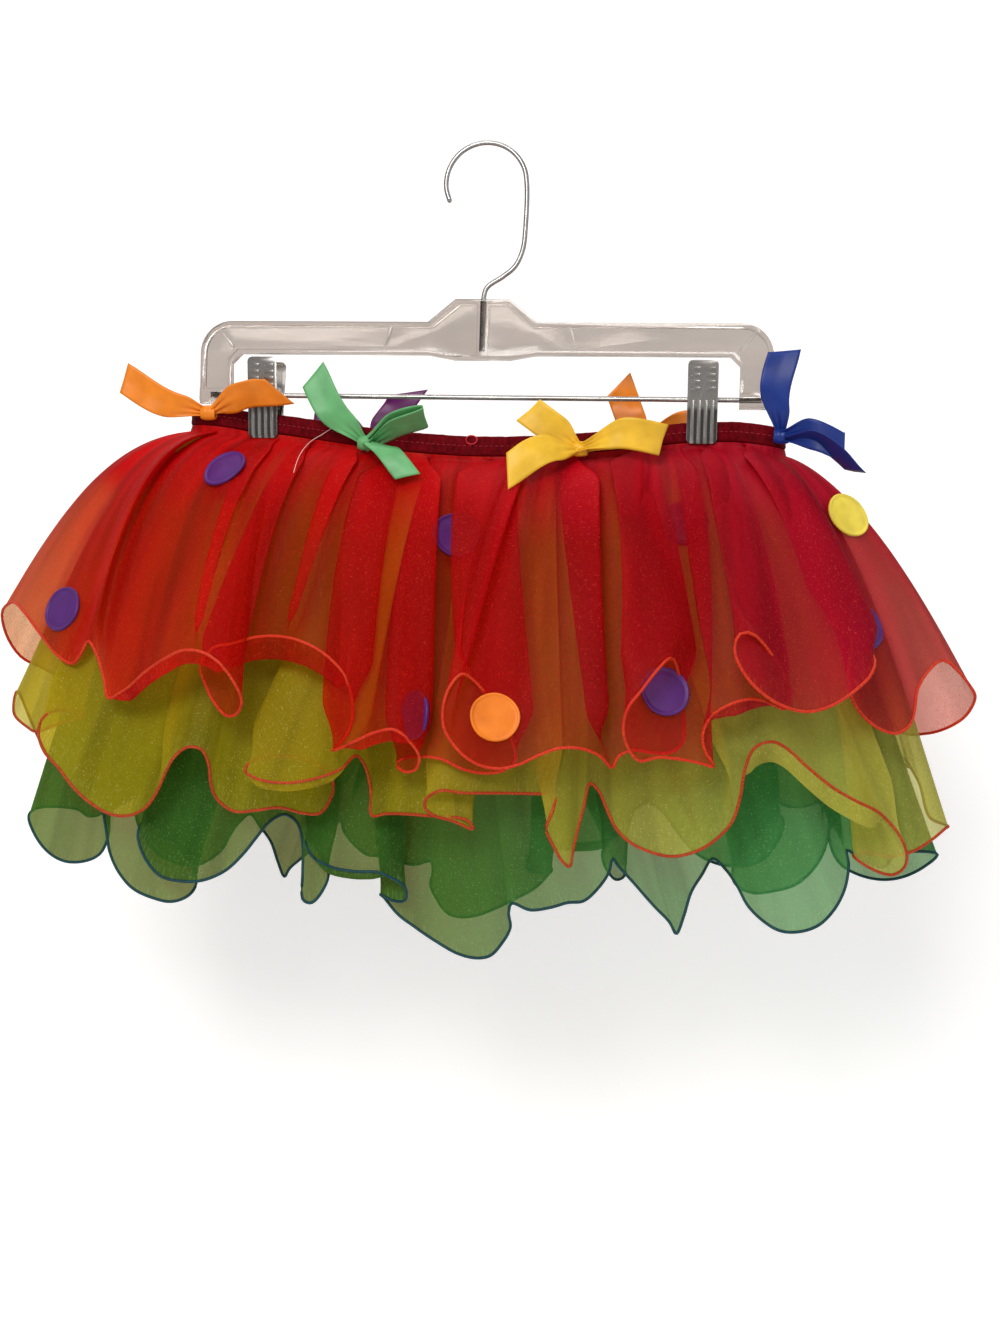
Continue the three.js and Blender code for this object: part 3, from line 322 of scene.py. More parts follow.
# ---------- settings a user would change ----------
class TutuCloth(bpy.types.PropertyGroup):
    """Organza layers, their corded hems and the waistband"""

    red: FloatVectorProperty(
        name="Red", description="Red organza", subtype="COLOR", size=3,
        default=(0.88, 0.0015, 0.005), min=0, max=1)
    yellow: FloatVectorProperty(
        name="Yellow", description="Yellow organza", subtype="COLOR", size=3,
        default=(0.74, 0.60, 0.012), min=0, max=1)
    green: FloatVectorProperty(
        name="Green", description="Green organza", subtype="COLOR", size=3,
        default=(0.10, 0.34, 0.04), min=0, max=1)
    density: FloatProperty(
        name="Density", description="Share of the light that a layer stops",
        subtype="FACTOR", default=0.36, min=0.1, max=1)
    hem_cord: FloatProperty(
        name="Hem cord", description="Thickness of a rolled and corded hem",
        subtype="DISTANCE", unit="LENGTH", default=0.0018, min=0.0005, max=0.006)
    columns: IntProperty(
        name="Columns", description="Steps round each layer", default=1120, min=200, max=1500)
    rows: IntProperty(
        name="Rows", description="Steps from waist to hem", default=64, min=16, max=120)


class TutuTrim(bpy.types.PropertyGroup):
    """Satin dots and ribbon bows"""

    dot_radius: FloatProperty(
        name="Dot radius", description="Radius of a satin dot", subtype="DISTANCE",
        unit="LENGTH", default=0.0143, min=0.005, max=0.03)
    dot_thick: FloatProperty(
        name="Dot thickness", description="Thickness of a satin dot", subtype="DISTANCE",
        unit="LENGTH", default=0.0014, min=0.0005, max=0.004)
    ribbon_width: FloatProperty(
        name="Ribbon width", description="Width of the bows' ribbon", subtype="DISTANCE",
        unit="LENGTH", default=0.019, min=0.005, max=0.04)
    ribbon_thick: FloatProperty(
        name="Ribbon thickness", description="Thickness of the bows' ribbon",
        subtype="DISTANCE", unit="LENGTH", default=0.0004, min=0.0001, max=0.002)


class TutuHanger(bpy.types.PropertyGroup):
    """Clear hanger with a plated hook, rod and clips"""

    # The grey-beige default is partly painted reflection of the room and of the wall behind.
    tint_and_reflection: FloatVectorProperty(
        name="Plastic tint", description="Colour of the clear plastic", subtype="COLOR",
        size=3, default=(0.66, 0.60, 0.55), min=0, max=1)
    edge: FloatProperty(
        name="Moulded edge", description="Radius on the plastic's edges", subtype="DISTANCE",
        unit="LENGTH", default=0.0006, min=0, max=0.002)


class TutuStage(bpy.types.PropertyGroup):
    """Floor, light and camera"""

    floor_drop: FloatProperty(
        name="Floor", description="Height of the floor", subtype="DISTANCE", unit="LENGTH",
        default=-1.05, max=0)
    glow: FloatProperty(
        name="Paper glow", description="Light that the paper shows the camera by itself",
        default=0.37, min=0, max=2)
    wall_back: FloatProperty(
        name="Wall", description="Distance of the wall behind the skirt",
        subtype="DISTANCE", unit="LENGTH", default=0.24, min=0.2)


# ---------- curves ----------
def catmull(points, share, closed):
    """Centripetal Catmull-Rom spline through points at shares 0 to 1. Between two points the
    curve is the cubic that leaves and meets them with slopes worked out from the square roots
    of the distances to their neighbours."""
    points = np.asarray(points, float)
    count = len(points)
    if closed:
        place = (np.asarray(share) % 1.0) * count
        padded = points[np.arange(-1, count + 2) % count]
        cell = np.minimum(place.astype(int), count - 1)
    else:
        place = np.clip(share, 0, 1) * (count - 1)
        padded = np.vstack([2 * points[0] - points[1], points, 2 * points[-1] - points[-2]])
        cell = np.minimum(place.astype(int), count - 2)
    t = (place - cell)[..., None]
    p0, p1, p2, p3 = (padded[cell + k] for k in range(4))
    s0, s1, s2 = (np.maximum(((b - a) ** 2).sum(-1, keepdims=True), 1e-14) ** 0.25
                  for a, b in ((p0, p1), (p1, p2), (p2, p3)))
    leave = ((p1 - p0) / s0 - (p2 - p0) / (s0 + s1) + (p2 - p1) / s1) * s1
    meet = ((p2 - p1) / s1 - (p3 - p1) / (s1 + s2) + (p3 - p2) / s2) * s1
    return p1 + t * (leave + t * (3 * (p2 - p1) - 2 * leave - meet
                                  + t * (2 * (p1 - p2) + leave + meet)))


def waist_loop():
    """The waist's points all the way round, in metres: the front from left to right, then the
    back from right to left."""
    rows = np.array(WAIST, float) * MM
    front = rows * [1, -1, 1]
    return np.vstack([front, rows[1:-1][::-1]])


class Band:
    """The waist loop measured by its length, as root percent: 0 to 100 is the front."""

    def __init__(self):
        self.loop = waist_loop()
        self.shares = np.linspace(0, 1, 1601)
        line = catmull(self.loop, self.shares, True)
        steps = np.linalg.norm(np.diff(line, axis=0), axis=1)
        self.lengths = np.concatenate([[0], np.cumsum(steps)])

    def at(self, root):
        """Points of the band's top edge, and the outward direction there: the loop's
        direction turned a quarter."""
        length = (np.asarray(root, float) % 200) / 200 * self.lengths[-1]
        share = np.interp(length, self.lengths, self.shares)
        point = catmull(self.loop, share, True)
        along = catmull(self.loop, share + 1e-4, True) - catmull(self.loop, share - 1e-4, True)
        outward = np.stack([along[..., 1], -along[..., 0], np.zeros_like(share)], -1)
        return point, outward / np.linalg.norm(outward, axis=-1, keepdims=True)


BAND = Band()


def smoothstep(low, high, value):
    """0 up to low, 1 from high on, and 3 t^2 - 2 t^3 between them."""
    t = np.clip((value - low) / (high - low), 0, 1)
    return t * t * (3 - 2 * t)


def turned_round(rows):
    """A ring of rows: the front's, then the same turned half round for the back."""
    front = np.array(rows, float)
    return np.vstack([front, front[1:-1] * [1, -1, -1, BACK_LIFT] + [100, 0, 0, 0]])


def eased_seams(ring):
    """The back's rows drawn to the seams' heights, by what they miss times exp(-distance)."""
    count = len(ring) // 2 + 1
    left, right = ring[0, 3], ring[count - 1, 3]
    back = ring[count:]
    back[:, 3] += (right - left * BACK_LIFT) * np.exp(-(back[:, 0] - 100) / SEAM_EASE)
    back[:, 3] += (left - right * BACK_LIFT) * np.exp(-(200 - back[:, 0]) / SEAM_EASE)
    return ring


def with_seams(ring, seams):
    """The ring with the back's rows beside the seams put in the place of its own."""
    roots = np.array([row[0] for row in seams])
    right, left = roots[roots < 150], roots[roots > 150]
    own = ring[:, 0]
    taken = (own > 100) & (own < right.max(initial=100) + 0.5) if len(seams) else own < 0
    taken |= own > left.min(initial=200.5) - 0.5
    ring = np.vstack([ring[~taken], *([seams] if seams else [])])
    return ring[ring[:, 0].argsort()]


def places(ring, root):
    """Shares of the ring's spline at which the roots lie."""
    return np.interp(root, np.append(ring[:, 0], 200), np.arange(len(ring) + 1)) / len(ring)


def hem_points(ring):
    """A ring's rows as points in metres."""
    return np.stack([ring[:, 1], -ring[:, 2], -ring[:, 3]], 1) * MM


def gathers(root, level):
    """How far the gathers stand out, in millimetres: a cosine along the band that rises and
    dies out as level (1 - level)^2, and smaller uneven ones that die out by exp(-9 level)."""
    turn = TURN * GATHERS / 100 * root
    even = GATHER_DEPTH * GATHER_PEAK * level * (1 - level) ** 2 * np.cos(turn)
    uneven = 0.8 + 0.5 * np.sin(turn * 0.37) * np.sin(turn * 0.83 + 1)
    wander = np.cos(turn * 2.9 + 2 * np.sin(turn / 3))
    return even + 0.9 * level * np.exp(-level * 9) * 9 * uneven * wander


def pleats(root, level, tucks, ahead, aside):
    """What the pleats add, in millimetres: each slides the cloth along the layer, and in front
    of or behind the rest, by the wave sin(pi t) cos(pi t / 2)^2, and leans as it goes down."""
    opening = smoothstep(0, 0.1, level) * (1.25 - 0.45 * level) * (1 - smoothstep(0.84, 1, level))
    moved = 0
    for middle, span, back_half, depth in tucks:
        lean = 1.6 * np.sin(2.3 * middle) * (level - 0.4)
        t = np.clip(((root - middle - lean + 50) % 100 - 50) / span, -1, 1)
        wave = -PLEAT_PEAK * np.sin(np.pi * t) * np.cos(np.pi * t / 2) ** 2 * opening
        moved = moved + (ahead * back_half + aside * depth) * wave
    return moved


def layer_grid(layer, columns, rows):
    """One layer's cloth as columns round the waist and rows from the band to the hem.

    Each column falls from the band to the folds' smoothed line, going outwards as the fall's
    power FLARE. What the hem adds to that line grows as the fall's power rise. Gathers and
    pleats are added to it. A curl leaves the fall early and turns up on a quadratic Bezier
    curve."""
    folds, hem_rows, seams, tucks, curls, stack, neck, rise = layer[:8]
    root = np.arange(columns) * 200 / columns
    coarse = turned_round(folds)
    smooth = sum(share * np.roll(hem_points(coarse), -step, axis=0)
                 for step, share in ((-2, 1), (-1, 2), (0, 3), (1, 2), (2, 1))) / 9
    place = places(coarse, root)
    flare = catmull(smooth, place, True)[:, None]
    near = 0.004
    ahead = catmull(smooth, place + near, True) - catmull(smooth, place - near, True)
    ahead[:, 2] = 0
    ahead = (ahead / np.linalg.norm(ahead, axis=1, keepdims=True))[:, None]
    aside = np.stack([ahead[..., 1], -ahead[..., 0], 0 * ahead[..., 0]], -1)
    upward = np.array([0, 0, 1.0])
    fine = with_seams(eased_seams(turned_round(hem_rows)), seams)
    hem = catmull(hem_points(fine), places(fine, root), True)[:, None]
    half_root = root % 100
    curl = sum(high * smoothstep(first, first + CURL_EASE, half_root)
               * (1 - smoothstep(last - CURL_EASE, last, half_root))
               for first, last, high in curls)[:, None, None] * MM
    start = hem - aside * CURL_OUT * curl - upward * CURL_UP * curl

    top, outward = BAND.at(root)
    top = (top + outward * stack * MM - [0, 0, (BAND_HEIGHT + SEAM_GAP) * MM])[:, None]
    whole = (np.linspace(0, 1, rows) ** ROW_CROWDING)[None, :, None]
    rolled = CURL_SHARE * curl
    level = np.clip(whole / (1 - rolled), 0, 1)
    fall = top[..., 2:] - flare[..., 2:]
    held = neck * MM / fall
    power = FLARE - LEFT_PUFF * np.maximum(0, -top[..., :1] / (WAIST_HALF * MM)) ** 3
    free = np.clip((level - held) / (1 - held), 0, 1)
    spread = (((free + FLARE_EASE) ** power - FLARE_EASE ** power)
              / ((1 + FLARE_EASE) ** power - FLARE_EASE ** power))
    cloth = top + (flare - top) * spread
    cloth[..., 2:] = top[..., 2:] - fall * level
    cloth = cloth + (start - flare) * level ** rise

    cloth = cloth + outward[:, None] * gathers(root[:, None, None], level) * MM
    cloth = cloth + pleats(half_root[:, None, None], level, tucks, ahead, aside) * MM

    s = np.clip((whole - 1 + rolled) / np.maximum(rolled, 1e-6), 0, 1) * (rolled > 1e-6)
    cloth = cloth + 2 * s * (1 - s) * curl * (CURL_UP * aside - CURL_BELLY * upward)
    return cloth + s * s * curl * (CURL_OUT * aside + CURL_UP * upward)


# ---------- meshes ----------
def mesh_piece(name, points, faces, uvs):
    """An object from points and faces, with one UV pair for each face corner."""
    mesh = bpy.data.meshes.new(name)
    mesh.from_pydata(points.tolist(), [], faces)
    layer = mesh.uv_layers.new(name="cloth")
    layer.data.foreach_set("uv", uvs.astype(np.float32).ravel())
    mesh.polygons.foreach_set("use_smooth", np.ones(len(mesh.polygons), bool))
    mesh.update()
    piece = bpy.data.objects.new(name, mesh)
    bpy.context.scene.collection.objects.link(piece)
    return piece


def grid_faces(columns, rows, around=False, across=False, first=0):
    """Quads over a grid of columns by rows, numbered from first. around and across join the
    last column or row to the first."""
    i = np.arange(columns if around else columns - 1)
    j = np.arange(rows if across else rows - 1)
    i, j = np.meshgrid(i, j, indexing="ij")
    i2, j2 = (i + 1) % columns, (j + 1) % rows
    quads = np.stack([i * rows + j, i * rows + j2, i2 * rows + j2, i2 * rows + j], -1)
    return first + quads.reshape(-1, 4)


def grid_uvs(u, v):
    """UV pairs for grid_faces' corners from the edges' values: u has one more than the columns
    where the grid goes round, and so has v across."""
    i, j = np.meshgrid(np.arange(len(u) - 1), np.arange(len(v) - 1), indexing="ij")
    corners = [(u[i], v[j]), (u[i], v[j + 1]), (u[i + 1], v[j + 1]), (u[i + 1], v[j])]
    return np.stack([np.stack(c, -1) for c in corners], 2).reshape(-1, 2)


def tube(path, radius, sides=10, closed=False, up=None):
    """Rings of a tube along a path: at each point a circle across the path's direction, set
    out from a side direction that is up crossed with it."""
    path = np.asarray(path, float)
    if closed:
        along = np.roll(path, -1, 0) - np.roll(path, 1, 0)
    else:
        along = np.gradient(path, axis=0)
    along /= np.linalg.norm(along, axis=1, keepdims=True)
    up = np.broadcast_to(np.array([0.13, 0.97, 0.21]) if up is None else up, path.shape)
    side = np.cross(up, along)
    side /= np.linalg.norm(side, axis=1, keepdims=True)
    other = np.cross(along, side)
    turn = np.arange(sides) / sides * TURN
    radius = np.broadcast_to(np.asarray(radius, float), len(path))[:, None, None]
    return path[:, None] + radius * (np.cos(turn)[None, :, None] * side[:, None]
                                     + np.sin(turn)[None, :, None] * other[:, None])


class Parts:
    """Grids gathered into one mesh."""

    def __init__(self):
        self.points, self.faces, self.uvs, self.count = [], [], [], 0

    def add(self, grid, u=None, v=None, around=False, across=False):
        columns, rows = grid.shape[:2]
        wide = columns + 1 if around else columns
        tall = rows + 1 if across else rows
        u = np.linspace(0, 1, wide) if u is None else np.asarray(u, float)
        v = np.linspace(0, 1, tall) if v is None else np.asarray(v, float)
        self.faces.append(grid_faces(columns, rows, around, across, self.count))
        self.uvs.append(grid_uvs(u, v))
        self.points.append(grid.reshape(-1, 3))
        self.count += columns * rows
        return self

    def capped(self, rings, u=None, v=None):
        """Rings closed at both ends by fans to the end rings' middles."""
        ends = [rings[0].mean(0), rings[-1].mean(0)]
        sides = rings.shape[1]
        first = self.count
        self.add(rings, u, v, across=True)
        for end, ring, flip in ((0, 0, False), (1, len(rings) - 1, True)):
            self.points.append(ends[end][None])
            k = np.arange(sides)
            a, b = first + ring * sides + k, first + ring * sides + (k + 1) % sides
            middle = np.full(sides, self.count)
            fan = np.stack([middle, a, b] if flip else [middle, b, a], 1)
            self.faces.append(fan)
            self.uvs.append(np.zeros((sides * 3, 2)))
            self.count += 1
        return self

    def piece(self, name):
        faces = [face for block in self.faces for face in block.tolist()]
        return mesh_piece(name, np.vstack(self.points), faces, np.vstack(self.uvs))


def outwards(piece):
    """Turns a closed piece's faces outwards."""
    work = bmesh.new()
    work.from_mesh(piece.data)
    bmesh.ops.recalc_face_normals(work, faces=work.faces)
    work.to_mesh(piece.data)
    work.free()
    return piece


def cad_copy(node, name, bevel):
    """A CAD node's shape as a new welded piece with small rounds on its sharp edges."""
    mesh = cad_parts[node].data.copy()
    mesh.name = name
    mesh.materials.clear()
    work = bmesh.new()
    work.from_mesh(mesh)
    bmesh.ops.remove_doubles(work, verts=work.verts, dist=2e-6)
    bmesh.ops.dissolve_limit(work, angle_limit=math.radians(1), verts=work.verts, edges=work.edges)
    work.to_mesh(mesh)
    work.free()
    piece = bpy.data.objects.new(name, mesh)
    bpy.context.scene.collection.objects.link(piece)
    mesh.polygons.foreach_set("use_smooth", np.ones(len(mesh.polygons), bool))
    rounds = piece.modifiers.new("rounds", "BEVEL")
    rounds.width = bevel
    rounds.segments = 2
    rounds.limit_method = "ANGLE"
    rounds.angle_limit = math.radians(28)
    rounds.harden_normals = True
    return piece


def settle(piece, slot, material, *nodes):
    """Puts a finished piece, with its material, on the body and in the place of its CAD nodes. Its
    slot is not used.
    """
    piece.data.materials.clear()
    piece.data.materials.append(material)
    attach(piece, "root")
    if nodes:
        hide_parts(*nodes)
    return piece


# ---------- materials ----------
class Nodes:
    """A short way to write a node tree."""

    def __init__(self, tree):
        self.tree = tree

    def add(self, kind, **settings):
        node = self.tree.nodes.new(kind)
        for key, value in settings.items():
            setattr(node, key, value)
        return node

    def link(self, out, into):
        self.tree.links.new(out, into)

    def math(self, operation, a, b=0.0, c=0.0, clamp=False):
        node = self.add("ShaderNodeMath", operation=operation, use_clamp=clamp)
        for socket, value in zip(node.inputs, (a, b, c)):
            self.feed(socket, value)
        return node.outputs[0]

    def feed(self, socket, value):
        if isinstance(value, bpy.types.NodeSocket):
            self.link(value, socket)
        else:
            socket.default_value = value

    def mix(self, share, a, b):
        node = self.add("ShaderNodeMix", data_type="RGBA")
        self.feed(node.inputs["Factor"], share)
        self.feed(node.inputs[6], a)
        self.feed(node.inputs[7], b)
        return node.outputs[2]

    def blend(self, share, a, b):
        node = self.add("ShaderNodeMixShader")
        self.feed(node.inputs["Fac"], share)
        self.link(a, node.inputs[1])
        self.link(b, node.inputs[2])
        return node.outputs["Shader"]

    def noise(self, vector, scale, detail, rough=0.5):
        node = self.add("ShaderNodeTexNoise")
        self.link(vector, node.inputs["Vector"])
        node.inputs["Scale"].default_value = scale
        node.inputs["Detail"].default_value = detail
        node.inputs["Roughness"].default_value = rough
        return node.outputs["Fac"]

    def stretched(self, vector, scale):
        node = self.add("ShaderNodeMapping")
        self.link(vector, node.inputs["Vector"])
        node.inputs["Scale"].default_value = scale
        return node.outputs["Vector"]

    def ramp(self, value, low, high):
        node = self.add("ShaderNodeMapRange")
        self.feed(node.inputs["Value"], value)
        node.inputs["From Min"].default_value = low
        node.inputs["From Max"].default_value = high
        return node.outputs["Result"]


def group(name, outputs, build):
    """A shader node group, built once, that makes the masks named in outputs from a place."""
    made = bpy.data.node_groups.get(name)
    if made:
        return made
    made = bpy.data.node_groups.new(name, "ShaderNodeTree")
    made.interface.new_socket(name="Vector", in_out="INPUT", socket_type="NodeSocketVector")
    for label in outputs:
        made.interface.new_socket(name=label, in_out="OUTPUT", socket_type="NodeSocketFloat")
    nodes = Nodes(made)
    build(nodes, nodes.add("NodeGroupInput"), nodes.add("NodeGroupOutput"))
    return made


def organza_weave():
    """Threads both ways, slubs, painted glints and glint strokes, and painted fold shade of a sheer
    cloth whose UV is in metres.
    """
    def build(n, source, result):
        uv = source.outputs["Vector"]
        warp = n.noise(n.stretched(uv, (2200, 220, 1)), 1, 1)
        weft = n.noise(n.stretched(uv, (220, 2200, 1)), 1, 1)
        threads = n.math("ADD", warp, weft)
        speckle = n.noise(uv, 850, 1, 0.6)
        drift = n.noise(uv, 22, 3, 0.55)
        n.feed(result.inputs["Threads"], n.math("MULTIPLY", n.math("SUBTRACT", threads, 1.0), 0.5))
        # Painted glints: bright specks where the threads and the speckle are both high.
        glint = n.math("MULTIPLY", n.ramp(threads, 0.95, 1.2), n.ramp(speckle, 0.54, 0.72))
        n.feed(result.inputs["Glint"], glint)
        n.feed(result.inputs["Drift"], n.math("SUBTRACT", drift, 0.5))
        # Painted glint strokes: short bright streaks across the cloth.
        strokes = n.noise(n.stretched(uv, (1000, 150, 1)), 1, 2)
        n.feed(result.inputs["Strokes"], n.ramp(strokes, 0.52, 0.75))
        # Painted fold shade: soft streaks along the fall, high where the cloth is to be darker.
        folds = n.noise(n.stretched(uv, (34, 3, 1)), 1, 2)
        n.feed(result.inputs["Folds"], n.ramp(folds, 0.56, 0.36))

    return group("Organza weave", ("Threads", "Glint", "Drift", "Strokes", "Folds"), build)


def satin_weave():
    """The long floats and soft cloudiness of satin."""
    def build(n, source, result):
        place = source.outputs["Vector"]
        floats = n.noise(n.stretched(place, (5200, 400, 5200)), 1, 2)
        cloud = n.noise(place, 90, 3)
        n.feed(result.inputs["Floats"], floats)
        n.feed(result.inputs["Cloud"], n.math("SUBTRACT", cloud, 0.5))

    return group("Satin weave", ("Floats", "Cloud"), build)


def wear():
    """Fine scratches and grime of handled metal or plastic."""
    def build(n, source, result):
        place = source.outputs["Vector"]
        scratch = n.noise(n.stretched(place, (300, 300, 5200)), 1, 3)
        patch = n.noise(place, 130, 3)
        n.feed(result.inputs["Scratch"], scratch)
        n.feed(result.inputs["Patch"], patch)

    return group("Handled wear", ("Scratch", "Patch"), build)


def start_material(name):
    """A material with its output and its coordinates, and a writer for its nodes."""
    material = bpy.data.materials.new(name)
    material.use_nodes = True
    material.node_tree.nodes.clear()
    n = Nodes(material.node_tree)
    out = n.add("ShaderNodeOutputMaterial")
    place = n.add("ShaderNodeTexCoord")
    return material, n, out, place


def use_group(n, tree, vector):
    """A group's masks at a place."""
    node = n.add("ShaderNodeGroup")
    node.node_tree = tree
    n.link(vector, node.inputs["Vector"])
    return node.outputs


def bump(n, height, strength, distance):
    """A normal tilted by a height's slope."""
    node = n.add("ShaderNodeBump")
    n.link(height, node.inputs["Height"])
    node.inputs["Strength"].default_value = strength
    node.inputs["Distance"].default_value = distance
    return node.outputs["Normal"]


def rgba(colour, scale=1.0):
    """A colour made lighter or darker by scale, with full alpha."""
    return (*(min(1.0, channel * scale) for channel in colour), 1.0)


def principled(n, colour, rough, normal, **uniform):
    """The material's own Principled shader. A uniform value's name is its socket's label with
    underscores for spaces."""
    shader = n.add("ShaderNodeBsdfPrincipled")
    n.feed(shader.inputs["Base Color"], colour)
    n.feed(shader.inputs["Roughness"], rough)
    n.link(normal, shader.inputs["Normal"])
    for label, value in uniform.items():
        shader.inputs[label.replace("_", " ")].default_value = value
    return shader.outputs["BSDF"]


def organza(name, colour, colours, density, sides, drop):
    """Sheer cloth: threads that scatter and pass light, between gaps that colour what is behind.
    The colours change from left to right: the cloth's own colour goes over to painted light and
    shade on the right side, and what the gaps pass is darker on the left, painted shade of what
    stands behind. Painted glints lighten the colour and the folds' streaks are painted shade. The
    cloth is closer towards the sides and where the waist gathers it, and painted glint strokes
    stand across the last of its drop."""
    # The first colour, what the gaps pass on the left, is darker as painted shade of what stands
    # behind; the third is the painted glints' colour; the fourth is the right side's painted light and
    # shade.
    seen_through_painted_shade, seen_through_right, glow, right_painted_light = colours
    material, n, out, place = start_material(name)
    weave = use_group(n, organza_weave(), place.outputs["UV"])
    spot = n.add("ShaderNodeSeparateXYZ")
    n.link(place.outputs["Object"], spot.inputs["Vector"])
    across = spot.outputs["X"]
    flat = n.add("ShaderNodeSeparateXYZ")
    n.link(place.outputs["UV"], flat.inputs["Vector"])
    shade = n.ramp(weave["Drift"], -0.5, 0.5)
    # Painted light and shade: the right side's colour, lighter for yellow and green and darker for
    # red, is mixed in from left to right.
    painted_light_rightward = n.ramp(across, -0.04, 0.2)
    own = n.mix(painted_light_rightward, rgba(colour), rgba(right_painted_light))
    base = n.mix(shade, n.mix(0.2, own, (0, 0, 0, 1)), own)
    # Painted shade in the streaks of the folds.
    base = n.mix(n.math("MULTIPLY", weave["Folds"], 0.42), base, (0, 0, 0, 1))
    # Painted glints: the glint strokes by the hem and the glints all over mix the colour towards the
    # glints' colour.
    hem = n.math("MULTIPLY", n.ramp(flat.outputs["Y"], drop - 0.016, drop), weave["Strokes"])
    shine = n.math("MULTIPLY_ADD", hem, 0.45, n.math("MULTIPLY", weave["Glint"], 0.55), clamp=True)
    lit = n.mix(shine, base, rgba(glow))
    threads = principled(
        n, lit, 0.5, bump(n, weave["Threads"], 0.25, 0.0002),
        Specular_IOR_Level=0.12, Sheen_Weight=0.04, Sheen_Tint=rgba(glow))
    through = n.add("ShaderNodeBsdfTranslucent", label="light through the threads")
    n.link(base, through.inputs["Color"])
    cloth = n.blend(0.42, threads, through.outputs["BSDF"])
    # Painted shade: what the gaps pass is darker on the left, for what stands behind there.
    gaps = n.add("ShaderNodeBsdfTransparent", label="gaps")
    n.link(n.mix(painted_light_rightward, rgba(seen_through_painted_shade), rgba(seen_through_right)), gaps.inputs["Color"])
    facing = n.add("ShaderNodeLayerWeight")
    facing.inputs["Blend"].default_value = 0.35
    off = n.math("ABSOLUTE", across)
    edge = n.math("MULTIPLY_ADD", n.ramp(off, 0.235, 0.29), -0.6, n.ramp(off, 0.13, 0.21))
    waist = n.ramp(flat.outputs["Y"], 0.07, 0.0)
    thick = density
    for mask, share in (
            (facing.outputs["Facing"], 0.38), (weave["Threads"], 0.3), (edge, sides),
            (waist, 0.6), (hem, 0.12), (weave["Glint"], 0.25), (weave["Folds"], 0.1)):
        thick = n.math("MULTIPLY_ADD", mask, share, thick)
    thick = n.math("MULTIPLY_ADD", weave["Drift"], 0.14, thick, clamp=True)
    n.link(n.blend(thick, gaps.outputs["BSDF"], cloth), out.inputs["Surface"])
    return material


def corded(name, colour, light):
    """Thread wrapped closely round a hem, on a UV whose u is in metres along it, with painted
    highlights on the wraps and painted shade between them.
    """
    material, n, out, place = start_material(name)
    wraps = n.noise(n.stretched(place.outputs["UV"], (1700, 2.5, 1)), 1, 1)
    uneven = n.noise(n.stretched(place.outputs["UV"], (60, 1, 1)), 1, 2)
    # Painted highlight and shade: the wraps' tops go to the light colour and the grooves between them
    # to a darker one, along the same pattern as their bump.
    tone = n.mix(n.ramp(wraps, 0.35, 0.65), rgba(colour, 0.75), rgba(light))
    tone = n.mix(n.ramp(uneven, 0.3, 0.8), tone, rgba(colour))
    cord = principled(n, tone, 0.55, bump(n, wraps, 0.6, 0.0003), Specular_IOR_Level=0.25)
    n.link(cord, out.inputs["Surface"])
    return material


def satin(name, colour, shine=0.32):
    """Satin: a soft broad gloss over long floating threads."""
    material, n, out, place = start_material(name)
    weave = use_group(n, satin_weave(), place.outputs["Object"])
    shade = n.ramp(weave["Cloud"], -0.35, 0.35)
    cloth = principled(
        n, n.mix(shade, rgba(colour, 0.78), rgba(colour, 1.2)),
        n.math("MULTIPLY_ADD", weave["Floats"], 0.2, shine),
        bump(n, weave["Floats"], 0.18, 0.0002),
        Specular_IOR_Level=0.35, Anisotropic=0.4, Sheen_Weight=0.1, Sheen_Tint=rgba(colour, 1.6))
    n.link(cloth, out.inputs["Surface"])
    return material


def casing(name, colour):
    """The waistband's satin-faced casing, with its gathers' shadows along it."""
    material, n, out, place = start_material(name)
    weave = use_group(n, satin_weave(), place.outputs["Object"])
    puckers = n.noise(n.stretched(place.outputs["UV"], (420, 12, 1)), 1, 2)
    tone = n.mix(n.ramp(puckers, 0.3, 0.7), rgba(colour, 0.55), rgba(colour, 1.35))
    cloth = principled(
        n, tone, n.math("MULTIPLY_ADD", weave["Floats"], 0.2, 0.6),
        bump(n, puckers, 0.5, 0.0006), Specular_IOR_Level=0.06)
    n.link(cloth, out.inputs["Surface"])
    return material


def clear_plastic(name, tint_and_reflection):
    """Clear moulded plastic, a little grey-beige, partly its own colour and partly painted reflection
    of the room and of the wall behind, with flow lines and handling marks.
    """
    material, n, out, place = start_material(name)
    marks = use_group(n, wear(), place.outputs["Object"])
    flow = n.noise(n.stretched(place.outputs["Object"], (14, 14, 60)), 1, 2)
    # The plastic's colour is partly painted reflection of the room and of the wall behind.
    tone = n.mix(n.ramp(flow, 0.3, 0.7), rgba(tint_and_reflection, 0.93), rgba(tint_and_reflection, 1.05))
    plastic = principled(
        n, tone, n.math("MULTIPLY_ADD", marks["Patch"], 0.14, 0.04),
        bump(n, flow, 0.12, 0.002), Transmission_Weight=1.0, IOR=1.49)
    n.link(plastic, out.inputs["Surface"])
    return material


